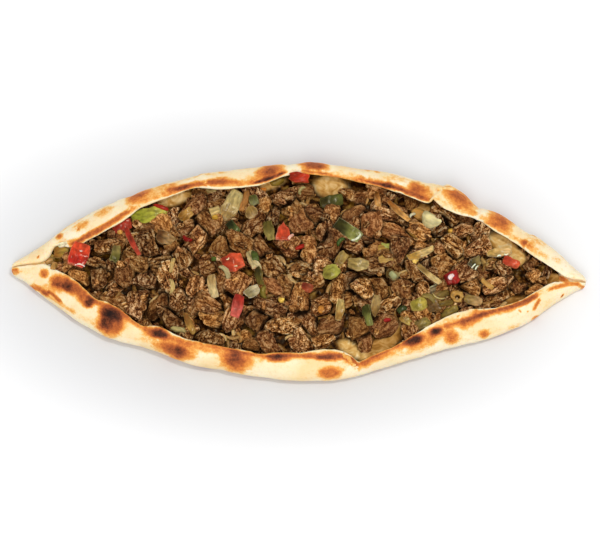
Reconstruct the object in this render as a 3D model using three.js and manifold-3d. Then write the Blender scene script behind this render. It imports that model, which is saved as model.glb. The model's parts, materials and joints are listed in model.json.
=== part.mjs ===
// A Turkish pide: an open, boat-shaped flatbread whose long edges are folded up and inward over a filling
// of diced beef, onion, pepper and tomato. Millimetres, +Z up, +X along the boat, origin under its middle.
import * as THREE from "three";
import { mergeVertices } from "three/addons/utils/BufferGeometryUtils.js";
import Module from "manifold-3d";

// ---- Driving dimensions ----
const LENGTH = 350; // tip to tip
const WALL = 3.2; // dough in the folded wall
const LIP_THICKNESS = 2.3; // dough at the lip's free edge
const FLOOR = 4.5; // top of the dough under the filling
const FOOT_RADIUS = 6; // rounding from the flat underside into the wall
const BULGE_SHARE = 0.33; // height of the widest point, as a share of the lip's height
const CLEARANCE = 0.3; // gap between pieces that touch
const STATION_STEP = 6; // spacing of the dough's cross-sections
const CLOSED_TO = -156; // left of here the two lips are pinched together
const CLOSED_FROM = 163; // right of here they are pinched together
const OPENING_RUN = 12; // length over which the pinched end opens into the trough

// The folded edge, one row wherever it changes: distance along the boat, then the outer bulge and
// the lip's free edge, both measured from the middle line, and the lip's height.
const FAR_RIM = [
  [-175, -0.5, -2.4, 9],
  [-168, 4.5, -1.8, 11.5],
  [-160, 10, -1.2, 13],
  [-156, 13.5, -0.8, 14],
  [-152, 17.5, 2, 14.5],
  [-150, 19, 9.5, 12.5], // the first fold stops short, and the next one starts with a loose corner
  [-146.5, 22, 11, 13.5],
  [-140.5, 26.5, 7, 17],
  [-127, 35.5, 13, 18],
  [-115.5, 41, 20, 18.5],
  [-104.5, 45, 27, 19],
  [-98, 48, 34.5, 18],
  [-80, 54.5, 41.5, 18.5],
  [-61, 60, 48.5, 18.5],
  [-53, 62, 47, 19],
  [-29, 66, 50, 17.5],
  [-12, 69, 56.5, 18.5],
  [-4, 68, 60, 16], // two folds meet in a dip
  [5.5, 70, 58.5, 19],
  [22, 67.5, 57, 19.5],
  [36.5, 66.5, 54, 19.5],
  [60, 63.5, 47.5, 19.5],
  [79, 58, 41, 18.5],
  [81, 57.5, 44.5, 21], // a fold laid over the end of the one before
  [84, 57, 40, 21],
  [90, 57, 36, 20.5],
  [96, 54.5, 34, 19.5],
  [103, 49.5, 33.4, 18.5],
  [108, 44.5, 32.5, 16.5], // pinched waist between two folds
  [112.5, 41, 29.5, 19],
  [119, 40, 23.6, 20],
  [126, 36.8, 20, 19],
  [132.5, 31.5, 16.5, 18],
  [147, 24, 6.2, 16.5],
  [157, 17.5, 0.4, 15],
  [163, 11.5, -3.6, 14],
  [170, 4.5, -3.6, 13],
  [175, 0, -3.4, 10.5],
];
const NEAR_RIM = [
  [-175, -7, -4, 9],
  [-168, -11.5, -3.4, 11.5],
  [-161, -16.5, -2.9, 13],
  [-156, -20, -2.4, 14],
  [-145.5, -28, -7.5, 15.5],
  [-136, -34.5, -12.6, 16.5],
  [-127, -40, -20.8, 17.5],
  [-121.5, -43, -25.6, 17.5],
  [-115.5, -45.5, -26.5, 19],
  [-109.5, -47.8, -29.2, 19],
  [-98.5, -50, -38.8, 18.5],
  [-92, -51.5, -42.2, 17], // end of the first fold
  [-85.5, -54, -41, 19.5],
  [-77, -57, -44.7, 19],
  [-60, -62.5, -50.6, 18.5],
  [-35, -66.2, -54.4, 18.5],
  [-21, -68.3, -57.3, 17.5],
  [-10.5, -69.4, -55.8, 19.5],
  [3, -69.8, -55.8, 19],
  [16.5, -69.6, -52.9, 19],
  [24, -69, -53.1, 18.5],
  [33, -67, -56.5, 17.5],
  [36.5, -65.5, -60.5, 13], // a notch where two folds part
  [39.5, -64.5, -58.8, 16],
  [49, -62, -54.8, 18.5],
  [63, -57.5, -47.5, 19],
  [75.5, -53, -39, 19],
  [88, -48.5, -31.4, 19],
  [101, -45, -26.9, 18.5],
  [118, -40, -24.9, 18],
  [135, -32.5, -18.8, 17.5],
  [144.5, -26.5, -12.5, 16.5],
  [153.5, -20, -7.2, 15.5],
  [163, -13, -5.4, 14],
  [170, -8.5, -5.3, 13],
  [175, -6.5, -5, 10.5],
];

// ---- The filling ----
const HEAP_START = -146;
const HEAP_END = 154;
const HEAP_EDGE_HEIGHT = 8; // top of the bare core at the walls
const HEAP_CROWN = 4; // how much higher the core is in the middle
const HEAP_HALF_WIDTH = 56; // half width of the mound in the middle, for its crown
const HEAP_HALF_LENGTH = 165;

const DICE_TUCK = 0.35; // share of the way under each fold that the dice reach
const BARE_DEPTH = 11; // how far the dice stay back from a bare stretch of wall

// Places where the dice stop short of the wall and only a little juice covers the dough: which side
// of the boat, and the middle and half length of the stretch.
const BARE_PATCHES = [
  { side: 1, at: 20, reach: 26 },
  { side: 1, at: 79, reach: 11 },
  { side: 1, at: 125, reach: 16 },
  { side: -1, at: 42, reach: 24 },
  { side: -1, at: 128, reach: 10 },
];

const BEEF = {
  seed: 309,
  pitchX: 14,
  pitchY: 11.8,
  jitter: 3.2,
  length: [13, 23],
  width: [9.5, 14],
  thickness: [7.5, 10.5],
  tilt: 22, // degrees either way
  wallGap: 1.5,
};

// Pieces as large as berries that lie among the beef: where each one lies, its length, width and
// thickness, its turn about +Z and its tilt in degrees, how far it curls, and its height above the core.
const VEGETABLES = {
  tomato: [
    { at: [-133.5, 3], size: [14.5, 12.5, 6], turn: 75, tilt: 12, curl: 1, rise: 5.5 },
    { at: [-40, -0.5], size: [13, 11.5, 7], turn: 20, tilt: 8, curl: 1, rise: 6 },
    { at: [92.5, -7], size: [8.5, 8.5, 6], turn: 25, tilt: 6, curl: 1, rise: 7 },
  ],
  red_pepper: [
    { at: [-108.5, 22.5], size: [11.5, 7.5, 4], turn: 20, tilt: 14, curl: 1, rise: 5 },
    { at: [-102, 11.5], size: [20, 3.6, 3], turn: -62, tilt: 8, curl: 2, rise: 7.5 },
    { at: [-10, 21], size: [12.5, 12, 3], turn: 90, tilt: 14, curl: 0.8, rise: 7.5, point: 0.8 },
    { at: [-36.5, -27.5], size: [14, 7, 5], turn: 78, tilt: 8, curl: 0.6, rise: 6.5 },
    { at: [-1.5, 56], size: [12, 6, 3], turn: -8, tilt: 16, curl: 1, rise: 9.5 },
    { at: [128, 4.5], size: [8.5, 5.5, 4], turn: -25, tilt: 10, curl: 0.6, rise: 6.5 },
    { at: [5, -15.5], size: [7, 5, 3.4], turn: -20, tilt: 10, curl: 0.6, rise: 7 },
  ],
  green_pepper: [
    { at: [-92.5, 30], size: [22, 9.5, 3], turn: 12, tilt: 10, curl: 2.5, rise: 5.5 },
    { at: [-145, 5.5], size: [9.5, 7, 2.6], turn: 5, tilt: 4, curl: 0.6, rise: 2.5 },
    { at: [19, 41.5], size: [14, 8.5, 2.6], turn: 12, tilt: 12, curl: 1.4, rise: 6 },
    { at: [29, 22], size: [18, 8.5, 3], turn: -34, tilt: 12, curl: 1.8, rise: 7 },
    { at: [19.5, -4.5], size: [10, 8.5, 4], turn: 20, tilt: 8, curl: 1, rise: 6.5 },
    { at: [72.5, -23.5], size: [9, 7.5, 3], turn: 15, tilt: 10, curl: 1, rise: 6.5 },
    { at: [75, -35], size: [10, 6.5, 3], turn: 25, tilt: 10, curl: 1, rise: 5.5 },
    { at: [65, -33], size: [8, 5.5, 2.6], turn: -40, tilt: 8, curl: 1, rise: 5.5 },
    { at: [-111, 3.5], size: [9, 6.5, 2.8], turn: 80, tilt: 12, curl: 0.8, rise: 6.5 },
    { at: [-19, 21], size: [12.5, 6.5, 2.6], turn: -78, tilt: 14, curl: 1.4, rise: 6.5 },
    { at: [-29, 41], size: [7, 6, 2.6], turn: -70, tilt: 10, curl: 0.8, rise: 6 },
    { at: [-41, 22], size: [9, 6, 2.6], turn: -50, tilt: 14, curl: 1, rise: 6.5 },
    { at: [-24.5, -8.5], size: [11.5, 4.5, 2.4], turn: -76, tilt: 14, curl: 1.2, rise: 6.5 },
    { at: [41.5, -31], size: [11.5, 5.5, 2.6], turn: -76, tilt: 14, curl: 1, rise: 6 },
    { at: [56, -6], size: [8, 6, 2.6], turn: -30, tilt: 10, curl: 1, rise: 6.5 },
    { at: [106.5, 3], size: [8, 6, 2.6], turn: 40, tilt: 14, curl: 1, rise: 6.5 },
    { at: [121, 10.5], size: [14, 5, 3], turn: 8, tilt: 8, curl: 0.6, rise: 6.5 },
  ],
  pepper_ring: [
    { at: [95.5, -18.5], size: [9, 9, 3], turn: 0, tilt: 10, curl: 0, rise: 6.5 },
  ],
  onion: [
    { at: [-42, 37.5], size: [21, 10.5, 2.8], turn: 64, tilt: 14, curl: 3.5, rise: 6.5 },
    { at: [-28, 1], size: [14, 6, 2.4], turn: -62, tilt: 12, curl: 2.5, rise: 7 },
    { at: [-52, -15.5], size: [14.5, 5.5, 2.4], turn: -78, tilt: 8, curl: 1.6, rise: 7.5 },
    { at: [-65, -38.5], size: [12.5, 3.6, 2.4], turn: -65, tilt: 6, curl: 1.2, rise: 6.5 },
    { at: [25, -28], size: [13.5, 5, 3], turn: 83, tilt: 6, curl: 0.6, rise: 7 },
    { at: [47, 43], size: [13, 3.6, 2.4], turn: -80, tilt: 8, curl: 2.4, rise: 7 },
    { at: [59.5, 36], size: [19, 3.6, 2.4], turn: -44, tilt: 8, curl: 2.4, rise: 7.5 },
    { at: [74, 8], size: [17, 5, 2.4], turn: 24, tilt: 12, curl: 3.5, rise: 7.5 },
    { at: [78, -5], size: [18, 3.8, 2.2], turn: -40, tilt: 8, curl: 2.4, rise: 7.5 },
    { at: [36, 0.5], size: [13.5, 7.5, 2.6], turn: -5, tilt: 8, curl: 2, rise: 6.5 },
    { at: [46.5, -25], size: [14, 5.2, 2.4], turn: 80, tilt: 12, curl: 1.6, rise: 7 },
    { at: [-27.5, -18.5], size: [8.5, 6.5, 2.6], turn: 35, tilt: 10, curl: 1.2, rise: 7 },
    { at: [83, -21.5], size: [14, 11, 3], turn: 35, tilt: 8, curl: 2, rise: 5.5 },
    { at: [-69.5, 30.5], size: [8.5, 7, 3], turn: 40, tilt: 8, curl: 1, rise: 6 },
    { at: [105, -20], size: [10.5, 6, 2.4], turn: -15, tilt: 8, curl: 1.2, rise: 6 },
    { at: [-82, 14.5], size: [12, 7, 2.6], turn: -25, tilt: 12, curl: 2, rise: 7 },
    { at: [-29.5, 31.5], size: [9, 7.5, 2.8], turn: -60, tilt: 8, curl: 1.2, rise: 6.5 },
    { at: [25.5, 3.5], size: [9.5, 6, 2.6], turn: 55, tilt: 8, curl: 1.2, rise: 7 },
  ],
};

const FINISHES = {
  dough: { color: 0xf3dcaa, roughness: 0.72 },
  beef: { color: 0x6f4c33, roughness: 0.45 },
  tomato: { color: 0xc33a26, roughness: 0.25 },
  red_pepper: { color: 0xb8281f, roughness: 0.25 },
  green_pepper: { color: 0x7d8c2c, roughness: 0.3 },
  pepper_ring: { color: 0xa8912f, roughness: 0.3 },
  onion: { color: 0xb9ab72, roughness: 0.3 },
};

const vegetables = Object.entries(VEGETABLES).flatMap(([kind, cuts]) =>
  cuts.map((cut, i) => ({ name: `${kind}_${i + 1}`, kind, ...cut })),
);

const wasm = await Module();
wasm.setup();

// ---- Small helpers ----
const lerp = (a, b, share) => a + (b - a) * share;
const clamp = (value, low, high) => Math.min(high, Math.max(low, value));
const smooth = (share) => share * share * (3 - 2 * share);
const radians = THREE.MathUtils.degToRad;

// The same run of numbers from 0 to 1 for the same seed.
function seededRandom(seed) {
  const modulus = 2147483647;
  let state = seed;
  return () => {
    state = (state * 48271) % modulus;
    return state / modulus;
  };
}

// A column of a rim table at any distance x: a cubic through the rows that never swings past them.
function alongRim(rim, column, x) {
  const last = rim.length - 1;
  const at = clamp(x, rim[0][0], rim[last][0]);
  const i = clamp(rim.findIndex((row) => row[0] >= at) - 1, 0, last - 1);
  const slope = (k) => (rim[k + 1][column] - rim[k][column]) / (rim[k + 1][0] - rim[k][0]);
  const tangent = (k) => {
    if (k === 0 || k === last) return 0;
    const before = slope(k - 1);
    const after = slope(k);
    return before * after <= 0 ? 0 : (2 * before * after) / (before + after);
  };
  const run = rim[i + 1][0] - rim[i][0];
  const t = (at - rim[i][0]) / run;
  return (
    rim[i][column] * (1 + 2 * t) * (1 - t) ** 2 +
    rim[i + 1][column] * t * t * (3 - 2 * t) +
    run * (tangent(i) * t * (1 - t) ** 2 - tangent(i + 1) * t * t * (1 - t))
  );
}

const rimAt = (rim, x) => ({
  outer: alongRim(rim, 1, x),
  lip: alongRim(rim, 2, x),
  height: alongRim(rim, 3, x),
});

// A closed geometry from equal rings of points, with a fan over each end.
function loft(rings) {
  const count = rings[0].length;
  const middle = (ring) => ring.reduce((sum, p) => sum.add(p), new THREE.Vector3()).divideScalar(count);
  const points = [...rings.flat(), middle(rings[0]), middle(rings[rings.length - 1])];
  const firstHub = rings.length * count;
  const lastRing = firstHub - count;
  const index = [];
  for (let j = 0; j < count; j++) {
    const next = (j + 1) % count;
    for (let start = 0; start < lastRing; start += count) {
      const [a, b, c, d] = [start + j, start + next, start + count + j, start + count + next];
      index.push(a, b, c, b, d, c);
    }
    index.push(firstHub, next, j);
    index.push(firstHub + 1, lastRing + j, lastRing + next);
  }
  return new THREE.BufferGeometry().setFromPoints(points).setIndex(index);
}

// A closed geometry as a solid that can be joined and cut.
function solidOf(geometry) {
  const bare = geometry.clone();
  bare.deleteAttribute("normal");
  bare.deleteAttribute("uv");
  const merged = mergeVertices(bare, 1e-3);
  return new wasm.Manifold(
    new wasm.Mesh({
      numProp: 3,
      vertProperties: merged.attributes.position.array,
      triVerts: new Uint32Array(merged.index.array),
    }),
  );
}

function geometryOf(solid) {
  const mesh = solid.getMesh();
  return new THREE.BufferGeometry()
    .setAttribute("position", new THREE.BufferAttribute(mesh.vertProperties, 3))
    .setIndex(new THREE.BufferAttribute(mesh.triVerts, 1));
}

function largestBody(solid) {
  return solid.decompose().reduce((best, body) => (body.volume() > best.volume() ? body : best));
}

// ---- The dough ----
// 0 where the ends are pinched shut, 1 in the open trough.
function openness(x) {
  return smooth(clamp(Math.min(x - CLOSED_TO, CLOSED_FROM - x) / OPENING_RUN, 0, 1));
}

// One side of a cross-section, from the underside round the outside and over the lip to the floor,
// as [y, z] pairs. gap grows the dough all over, to cut room for what lies in it.
function foldedSide(rim, x, middle, gap) {
  const { outer, lip, height } = rimAt(rim, x);
  const side = Math.sign(outer - middle);
  const open = openness(x);
  const bulge = height * BULGE_SHARE;
  const reach = Math.abs(outer - lip);
  const foot = Math.min(FOOT_RADIUS, Math.abs(outer - middle) * 0.6);
  const nose = lerp(0.15, 0.9, open) + gap;
  const points = [];
  const add = (inward, z) => points.push([outer - side * inward, z]);
  const turn = (steps, from, to, place) => {
    for (let k = 0; k <= steps; k++) place(radians(lerp(from, to, k / steps)));
  };
  // The outside: a quarter round up to the bulge, then a quarter ellipse in to the lip.
  turn(2, 90, 25, (a) => add(foot * (1 - Math.cos(a)), bulge * (1 - Math.sin(a))));
  turn(4, 8, 84, (a) => add(reach * (1 - Math.cos(a)), bulge + (height + gap - bulge) * Math.sin(a)));
  add(reach + nose, height - LIP_THICKNESS * 0.45);
  // The inside: the same curve one wall further in, then a fillet down to the floor. In the pinched
  // ends these points close up into a shallow groove between the two lips.
  const wall = Math.min(WALL + gap, reach * 0.8);
  const inner = reach - wall;
  const under = height - LIP_THICKNESS - gap;
  const grooveDepth = 1.6;
  const shareOf = (k) => k / 6;
  let k = 0;
  const addInside = (inward, z) => {
    k += 1;
    const grooveY = lerp(lip, middle, 0.7 * shareOf(k));
    const y = lerp(grooveY, outer - side * inward, open);
    points.push([y, lerp(under - grooveDepth * shareOf(k), z, open)]);
  };
  turn(3, 82, 8, (a) => addInside(reach - inner * Math.cos(a), bulge + (under - bulge) * Math.sin(a)));
  addInside(wall + 1, lerp(bulge, FLOOR, 0.75));
  addInside(wall + 4, FLOOR + gap);
  return points;
}

// A whole cross-section as a ring, anticlockwise seen from the +X end.
function doughSection(x, gap) {
  const far = rimAt(FAR_RIM, x);
  const near = rimAt(NEAR_RIM, x);
  const seam = (far.lip + near.lip) / 2;
  const middle = lerp((far.outer + near.outer) / 2, seam, 1 - openness(x));
  const farSide = foldedSide(FAR_RIM, x, middle, gap);
  const nearSide = foldedSide(NEAR_RIM, x, middle, gap).reverse();
  const under = Math.min(far.height, near.height) - LIP_THICKNESS - 2;
  const floor = lerp(under, FLOOR + gap, openness(x));
  const [farFoot, nearFoot] = [farSide[0][0], nearSide[nearSide.length - 1][0]];
  const [farFloor, nearFloor] = [farSide[farSide.length - 1][0], nearSide[0][0]];
  const floorPoints = [1 / 3, 2 / 3].map((share) => [lerp(farFloor, nearFloor, share), floor]);
  const ring = [...farSide, ...floorPoints, ...nearSide, [(farFoot + nearFoot) / 2, 0]];
  return ring.map(([y, z]) => new THREE.Vector3(x, y, z));
}

// Cross-sections at an even step, and at each row of the tables, but never crowded.
function doughStations() {
  const half = LENGTH / 2;
  const rows = [...FAR_RIM, ...NEAR_RIM].map((row) => row[0]);
  const steps = Math.round(LENGTH / STATION_STEP);
  const even = Array.from({ length: steps + 1 }, (_, i) => lerp(-half, half, i / steps));
  const kept = [...new Set(rows)];
  const closest = (x) => Math.min(...kept.map((other) => Math.abs(other - x)));
  even.forEach((x) => closest(x) > STATION_STEP * 0.5 && kept.push(x));
  kept.sort((a, b) => a - b);
  return kept.filter((x, i) => i === 0 || i === kept.length - 1 || x - kept[i - 1] > 1.9);
}

const doughSolid = (gap) => solidOf(loft(doughStations().map((x) => doughSection(x, gap))));

// ---- The beef and its core ----
// 0 to 1: how much of the wall on one side is bare at x.
function bareness(side, x) {
  return BARE_PATCHES.filter((patch) => patch.side === side).reduce((most, patch) => {
    const away = Math.abs(x - patch.at) / patch.reach;
    return Math.max(most, smooth(clamp(1.6 - 1.6 * away, 0, 1)));
  }, 0);
}

// The two edges between which the dice lie at x, measured from the middle line.
function diceEdges(x) {
  const edge = (rim, side) => {
    const { lip, outer } = rimAt(rim, x);
    return lerp(lip, outer - side * WALL, DICE_TUCK) - side * BARE_DEPTH * bareness(side, x);
  };
  return { far: edge(FAR_RIM, 1), near: edge(NEAR_RIM, -1) };
}

// Half width of the mound at x, from a plain lens.
const moundHalfWidth = (x) => HEAP_HALF_WIDTH * Math.max(0.05, 1 - (x / HEAP_HALF_LENGTH) ** 2);

// Top of the bare core.
function coreTop(x, y) {
  const across = clamp(Math.abs(y) / moundHalfWidth(x), 0, 1);
  return HEAP_EDGE_HEIGHT + HEAP_CROWN * (1 - across ** 2) * clamp(moundHalfWidth(x) / 30, 0, 1);
}

// The core fills the trough from wall to wall under both folds, and lies low where the wall is bare.
function coreSection(x) {
  const bottom = FLOOR + CLEARANCE;
  const edge = (rim, side) => {
    const wall = rimAt(rim, x).outer - side * (WALL + 1.2);
    const top = lerp(HEAP_EDGE_HEIGHT, FLOOR + 2.2, bareness(side, x));
    return { wall, top, foot: wall - side * 4 };
  };
  const far = edge(FAR_RIM, 1);
  const near = edge(NEAR_RIM, -1);
  const crown = [0.27, 0.73].map((share) => {
    const y = lerp(far.wall, near.wall, share);
    return [y, coreTop(x, y)];
  });
  const ring = [
    [far.foot, bottom],
    [far.wall, FLOOR + 1.9],
    [far.wall - 0.4, far.top],
    ...crown,
    [near.wall + 0.4, near.top],
    [near.wall, FLOOR + 1.9],
    [near.foot, bottom],
    [(far.foot + near.foot) / 2, bottom],
  ];
  return ring.map(([y, z]) => new THREE.Vector3(x, y, z));
}

function coreSolid() {
  const steps = 18;
  const stations = Array.from({ length: steps + 1 }, (_, i) => lerp(HEAP_START, HEAP_END, i / steps));
  return solidOf(loft(stations.map(coreSection)));
}

// Where every dice of beef lies: a jittered grid of rows, each dice with its own size, turn and tilt.
function beefDice() {
  const random = seededRandom(BEEF.seed);
  const between = ([low, high]) => lerp(low, high, random());
  const either = (most) => most * (2 * random() - 1);
  const dice = [];
  const rows = Math.ceil(HEAP_HALF_WIDTH / BEEF.pitchY);
  const columns = Math.ceil(HEAP_HALF_LENGTH / BEEF.pitchX);
  for (let row = -rows; row <= rows; row++) {
    for (let column = -columns; column <= columns; column++) {
      const x = (column + (row % 2 ? 0.5 : 0)) * BEEF.pitchX + either(BEEF.jitter);
      const y = row * BEEF.pitchY + either(BEEF.jitter);
      const scale = clamp(moundHalfWidth(x) / 32, 0.6, 1);
      const size = [between(BEEF.length), between(BEEF.width), between(BEEF.thickness)];
      const turn = random() * 180;
      const tilt = either(BEEF.tilt);
      const roll = either(BEEF.tilt);
      const z = coreTop(x, y) + lerp(0.5, 3, random());
      dice.push({ x, y, z, size: size.map((s) => s * scale), turn, tilt, roll });
    }
  }
  return dice;
}

// Half the length of a turned piece across the boat.
function halfAcross({ size, turn }) {
  return Math.hypot(size[0] * Math.sin(radians(turn)), size[1] * Math.cos(radians(turn))) / 2;
}

function fitsInTrough(dice) {
  const { far, near } = diceEdges(dice.x);
  const half = halfAcross(dice) * 0.75 + BEEF.wallGap;
  const inside = dice.y + half < far && dice.y - half > near;
  return inside && dice.x > HEAP_START + 4 && dice.x < HEAP_END - 4;
}

// A dice that would bury a vegetable is left out.
function staysOffVegetables(dice) {
  return vegetables.every(({ at, size }) => {
    const apart = Math.hypot(dice.x - at[0], dice.y - at[1]);
    return apart > (size[0] + size[1]) * 0.22 + dice.size[1] * 0.15;
  });
}

// A block with its corners drawn in and every vertex moved a little, like hand-cut meat.
function roughBlock([length, width, thickness], random) {
  const block = mergeVertices(bareBox(length, width, thickness, 1, 1, 1), 1e-3);
  const position = block.attributes.position;
  const point = new THREE.Vector3();
  for (let i = 0; i < position.count; i++) {
    point.fromBufferAttribute(position, i);
    const out = Math.hypot(point.x / length, point.y / width) * 2;
    point.multiplyScalar(lerp(1.04, 0.86, clamp(out - 0.6, 0, 1)) * lerp(0.88, 1.1, random()));
    position.setXYZ(i, point.x, point.y, point.z);
  }
  return block;
}

function bareBox(length, width, thickness, ...segments) {
  const box = new THREE.BoxGeometry(length, width, thickness, ...segments);
  box.deleteAttribute("normal");
  box.deleteAttribute("uv");
  return box;
}

function placed(geometry, { x, y, z, turn, tilt, roll }) {
  const angles = new THREE.Euler(radians(roll), radians(tilt), radians(turn), "ZYX");
  const place = new THREE.Matrix4().makeRotationFromEuler(angles).setPosition(x, y, z);
  return geometry.clone().applyMatrix4(place);
}

function beefSolids() {
  return beefDice()
    .map((dice, i) => ({ dice, random: seededRandom(1000 + 37 * i) }))
    .filter(({ dice }) => fitsInTrough(dice) && staysOffVegetables(dice))
    .map(({ dice, random }) => solidOf(placed(roughBlock(dice.size, random), dice)));
}

// ---- The vegetables ----
// A cut strip or slice: a slab that curls along its length, cups a little and narrows at the ends.
function curledSlab([length, width, thickness], { curl, point = 0 }, { taper, cuts }) {
  const slab = mergeVertices(bareBox(length, width, thickness, ...cuts), 1e-3);
  const position = slab.attributes.position;
  for (let i = 0; i < position.count; i++) {
    const along = (2 * position.getX(i)) / length;
    const across = (2 * position.getY(i)) / width;
    const narrow = 1 - taper * along ** 2 - point * (along / 2 + 0.5);
    const bow = along ** 2 * curl * 0.25;
    const drop = -curl * (0.55 * along ** 2 + 0.2 * across ** 2);
    position.setXYZ(i, position.getX(i), position.getY(i) * narrow + bow, position.getZ(i) * narrow + drop);
  }
  return slab;
}

// A slice across a thin pepper: a low ring with its opening along Z.
function ringSlice([length, , thickness], gap) {
  const [outer, inner, half] = [length / 2, length * 0.17 - gap, thickness / 2];
  const profile = [
    [inner, -half],
    [outer * 0.9, -half],
    [outer, 0],
    [outer * 0.9, half],
    [inner, half],
    [inner, -half],
  ].map(([x, y]) => new THREE.Vector2(x, y));
  return new THREE.LatheGeometry(profile, 8).rotateX(Math.PI / 2);
}

const CUT = {
  tomato: { taper: 0.22, cuts: [2, 2, 1] },
  red_pepper: { taper: 0.2, cuts: [3, 1, 1] },
  green_pepper: { taper: 0.25, cuts: [3, 2, 1] },
  onion: { taper: 0.3, cuts: [4, 1, 1] },
};

function vegetablePlace({ at: [x, y], turn, tilt, rise }) {
  return { x, y, z: coreTop(x, y) + rise, turn, tilt: 0, roll: tilt };
}

function vegetableGeometry(vegetable, gap) {
  const grown = vegetable.size.map((side) => side + 2 * gap);
  const isRing = vegetable.kind === "pepper_ring";
  const cut = isRing ? ringSlice(grown, gap) : curledSlab(grown, vegetable, CUT[vegetable.kind]);
  return placed(cut, vegetablePlace(vegetable));
}

// ---- The whole pide ----
function piece(name, geometry, finish) {
  const flat = geometry.toNonIndexed();
  flat.computeVertexNormals();
  const material = new THREE.MeshStandardMaterial({ ...FINISHES[finish], metalness: 0 });
  const mesh = new THREE.Mesh(flat, material);
  mesh.name = name;
  return mesh;
}

function buildPide() {
  const pide = new THREE.Group();
  pide.add(piece("dough", geometryOf(doughSolid(0)), "dough"));

  const room = doughSolid(CLEARANCE);
  let taken = room;
  for (const vegetable of vegetables) {
    const trimmed = largestBody(solidOf(vegetableGeometry(vegetable, 0)).subtract(taken));
    pide.add(piece(vegetable.name, geometryOf(trimmed), vegetable.kind));
    taken = taken.add(solidOf(vegetableGeometry(vegetable, CLEARANCE)));
  }

  const heap = wasm.Manifold.union([coreSolid(), ...beefSolids()]);
  pide.add(piece("beef_heap", geometryOf(largestBody(heap.subtract(taken))), "beef"));
  return pide;
}

export default buildPide();
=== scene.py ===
# A Turkish pide: a boat of baked flatbread, its edges folded in and scorched, round diced beef with
# onion, pepper and tomato. Metres, +Z up, +X along the boat. Sizes in the settings are millimetres.
import json
import math
import bpy
import numpy as np
from mathutils import Euler, Matrix, Vector, noise
from mathutils.bvhtree import BVHTree

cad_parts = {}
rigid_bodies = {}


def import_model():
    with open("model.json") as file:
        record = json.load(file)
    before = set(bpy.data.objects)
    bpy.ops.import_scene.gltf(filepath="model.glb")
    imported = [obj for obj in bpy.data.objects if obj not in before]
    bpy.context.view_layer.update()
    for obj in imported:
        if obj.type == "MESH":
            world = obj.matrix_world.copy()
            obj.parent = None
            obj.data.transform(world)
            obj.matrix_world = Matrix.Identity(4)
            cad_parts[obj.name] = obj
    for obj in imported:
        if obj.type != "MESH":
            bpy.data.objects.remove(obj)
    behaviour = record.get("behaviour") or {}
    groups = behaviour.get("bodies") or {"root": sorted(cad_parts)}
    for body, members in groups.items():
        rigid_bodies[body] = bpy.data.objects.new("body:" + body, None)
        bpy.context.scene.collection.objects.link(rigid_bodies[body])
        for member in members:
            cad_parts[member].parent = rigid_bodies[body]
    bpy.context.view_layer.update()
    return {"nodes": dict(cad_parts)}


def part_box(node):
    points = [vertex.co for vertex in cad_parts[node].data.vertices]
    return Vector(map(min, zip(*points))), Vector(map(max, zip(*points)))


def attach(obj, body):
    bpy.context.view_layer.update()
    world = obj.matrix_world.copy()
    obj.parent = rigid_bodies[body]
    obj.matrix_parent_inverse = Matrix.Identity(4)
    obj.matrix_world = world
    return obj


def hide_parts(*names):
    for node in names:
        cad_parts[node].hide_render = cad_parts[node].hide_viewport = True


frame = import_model()
mm = 0.001
frameNodes = frame["nodes"]


def linear(hexColour):  # sRGB hex to linear RGBA
    channels = [int(hexColour[i:i + 2], 16) / 255 for i in (1, 3, 5)]
    return [c / 12.92 if c <= 0.04045 else ((c + 0.055) / 1.055) ** 2.4 for c in channels] + [1.0]


def smoothStep(low, high, value):
    share = np.clip((value - low) / (high - low), 0, 1)
    return share * share * (3 - 2 * share)


def lerp(a, b, share):
    return a + (b - a) * share


def seededRandom(seed):  # the same run of numbers from 0 to 1 for the same seed
    multiplier, modulus = 48271, 2147483647
    state = seed
    while True:
        state = state * multiplier % modulus
        yield state / modulus


seedStep = np.array([17.3, 9.1, 5.7])  # each seed takes the noise from another place


def noiseAt(points, size, seed=0, stretch=(1, 1, 1)):  # -1 to 1, with lumps of that size in the points' unit
    shift = seedStep * seed
    return np.array([noise.noise(p) for p in points / size * np.array(stretch) + shift])


def addNode(tree, kind, values=None, links=None, ramp=None, **settings):
    node = tree.nodes.new(kind)
    for name, value in settings.items():
        setattr(node, name, value)
    for socket, value in (values or {}).items():
        node.inputs[socket].default_value = value
    for socket, source in (links or {}).items():
        tree.links.new(source, node.inputs[socket])
    if ramp:
        stops = node.color_ramp.elements
        while len(stops) < len(ramp):
            stops.new(1)
        for stop, (place, colour) in zip(stops, ramp):
            stop.position = place
            stop.color = linear(colour)
    return node


def objectPlace(tree):
    return addNode(tree, "ShaderNodeTexCoord").outputs["Object"]


def attributeNode(tree, name, output="Fac"):
    return addNode(tree, "ShaderNodeAttribute", attribute_name=name).outputs[output]


def noiseNode(tree, vector, scale, detail, roughness=0.5, distortion=0):
    values = {"Scale": scale, "Detail": detail, "Roughness": roughness, "Distortion": distortion}
    return addNode(tree, "ShaderNodeTexNoise", values, {"Vector": vector}).outputs["Fac"]


def valuesAndLinks(terms):  # parts numbers and hex colours from other nodes' outputs
    values = {socket: linear(term) if isinstance(term, str) else term
              for socket, term in terms.items() if isinstance(term, (int, float, str))}
    return values, {socket: term for socket, term in terms.items() if socket not in values}


def mathNode(tree, operation, *terms, clamp=False):
    values, links = valuesAndLinks(dict(enumerate(terms)))
    return addNode(tree, "ShaderNodeMath", values, links, operation=operation, use_clamp=clamp).outputs[0]


def rangeNode(tree, value, fromMin=0, fromMax=1, toMin=0, toMax=1, curve="LINEAR"):
    values = {"From Min": fromMin, "From Max": fromMax, "To Min": toMin, "To Max": toMax}
    return addNode(tree, "ShaderNodeMapRange", values, {"Value": value}, interpolation_type=curve).outputs[0]


def rampNode(tree, share, stops):
    return addNode(tree, "ShaderNodeValToRGB", None, {"Fac": share}, stops).outputs[0]


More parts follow.
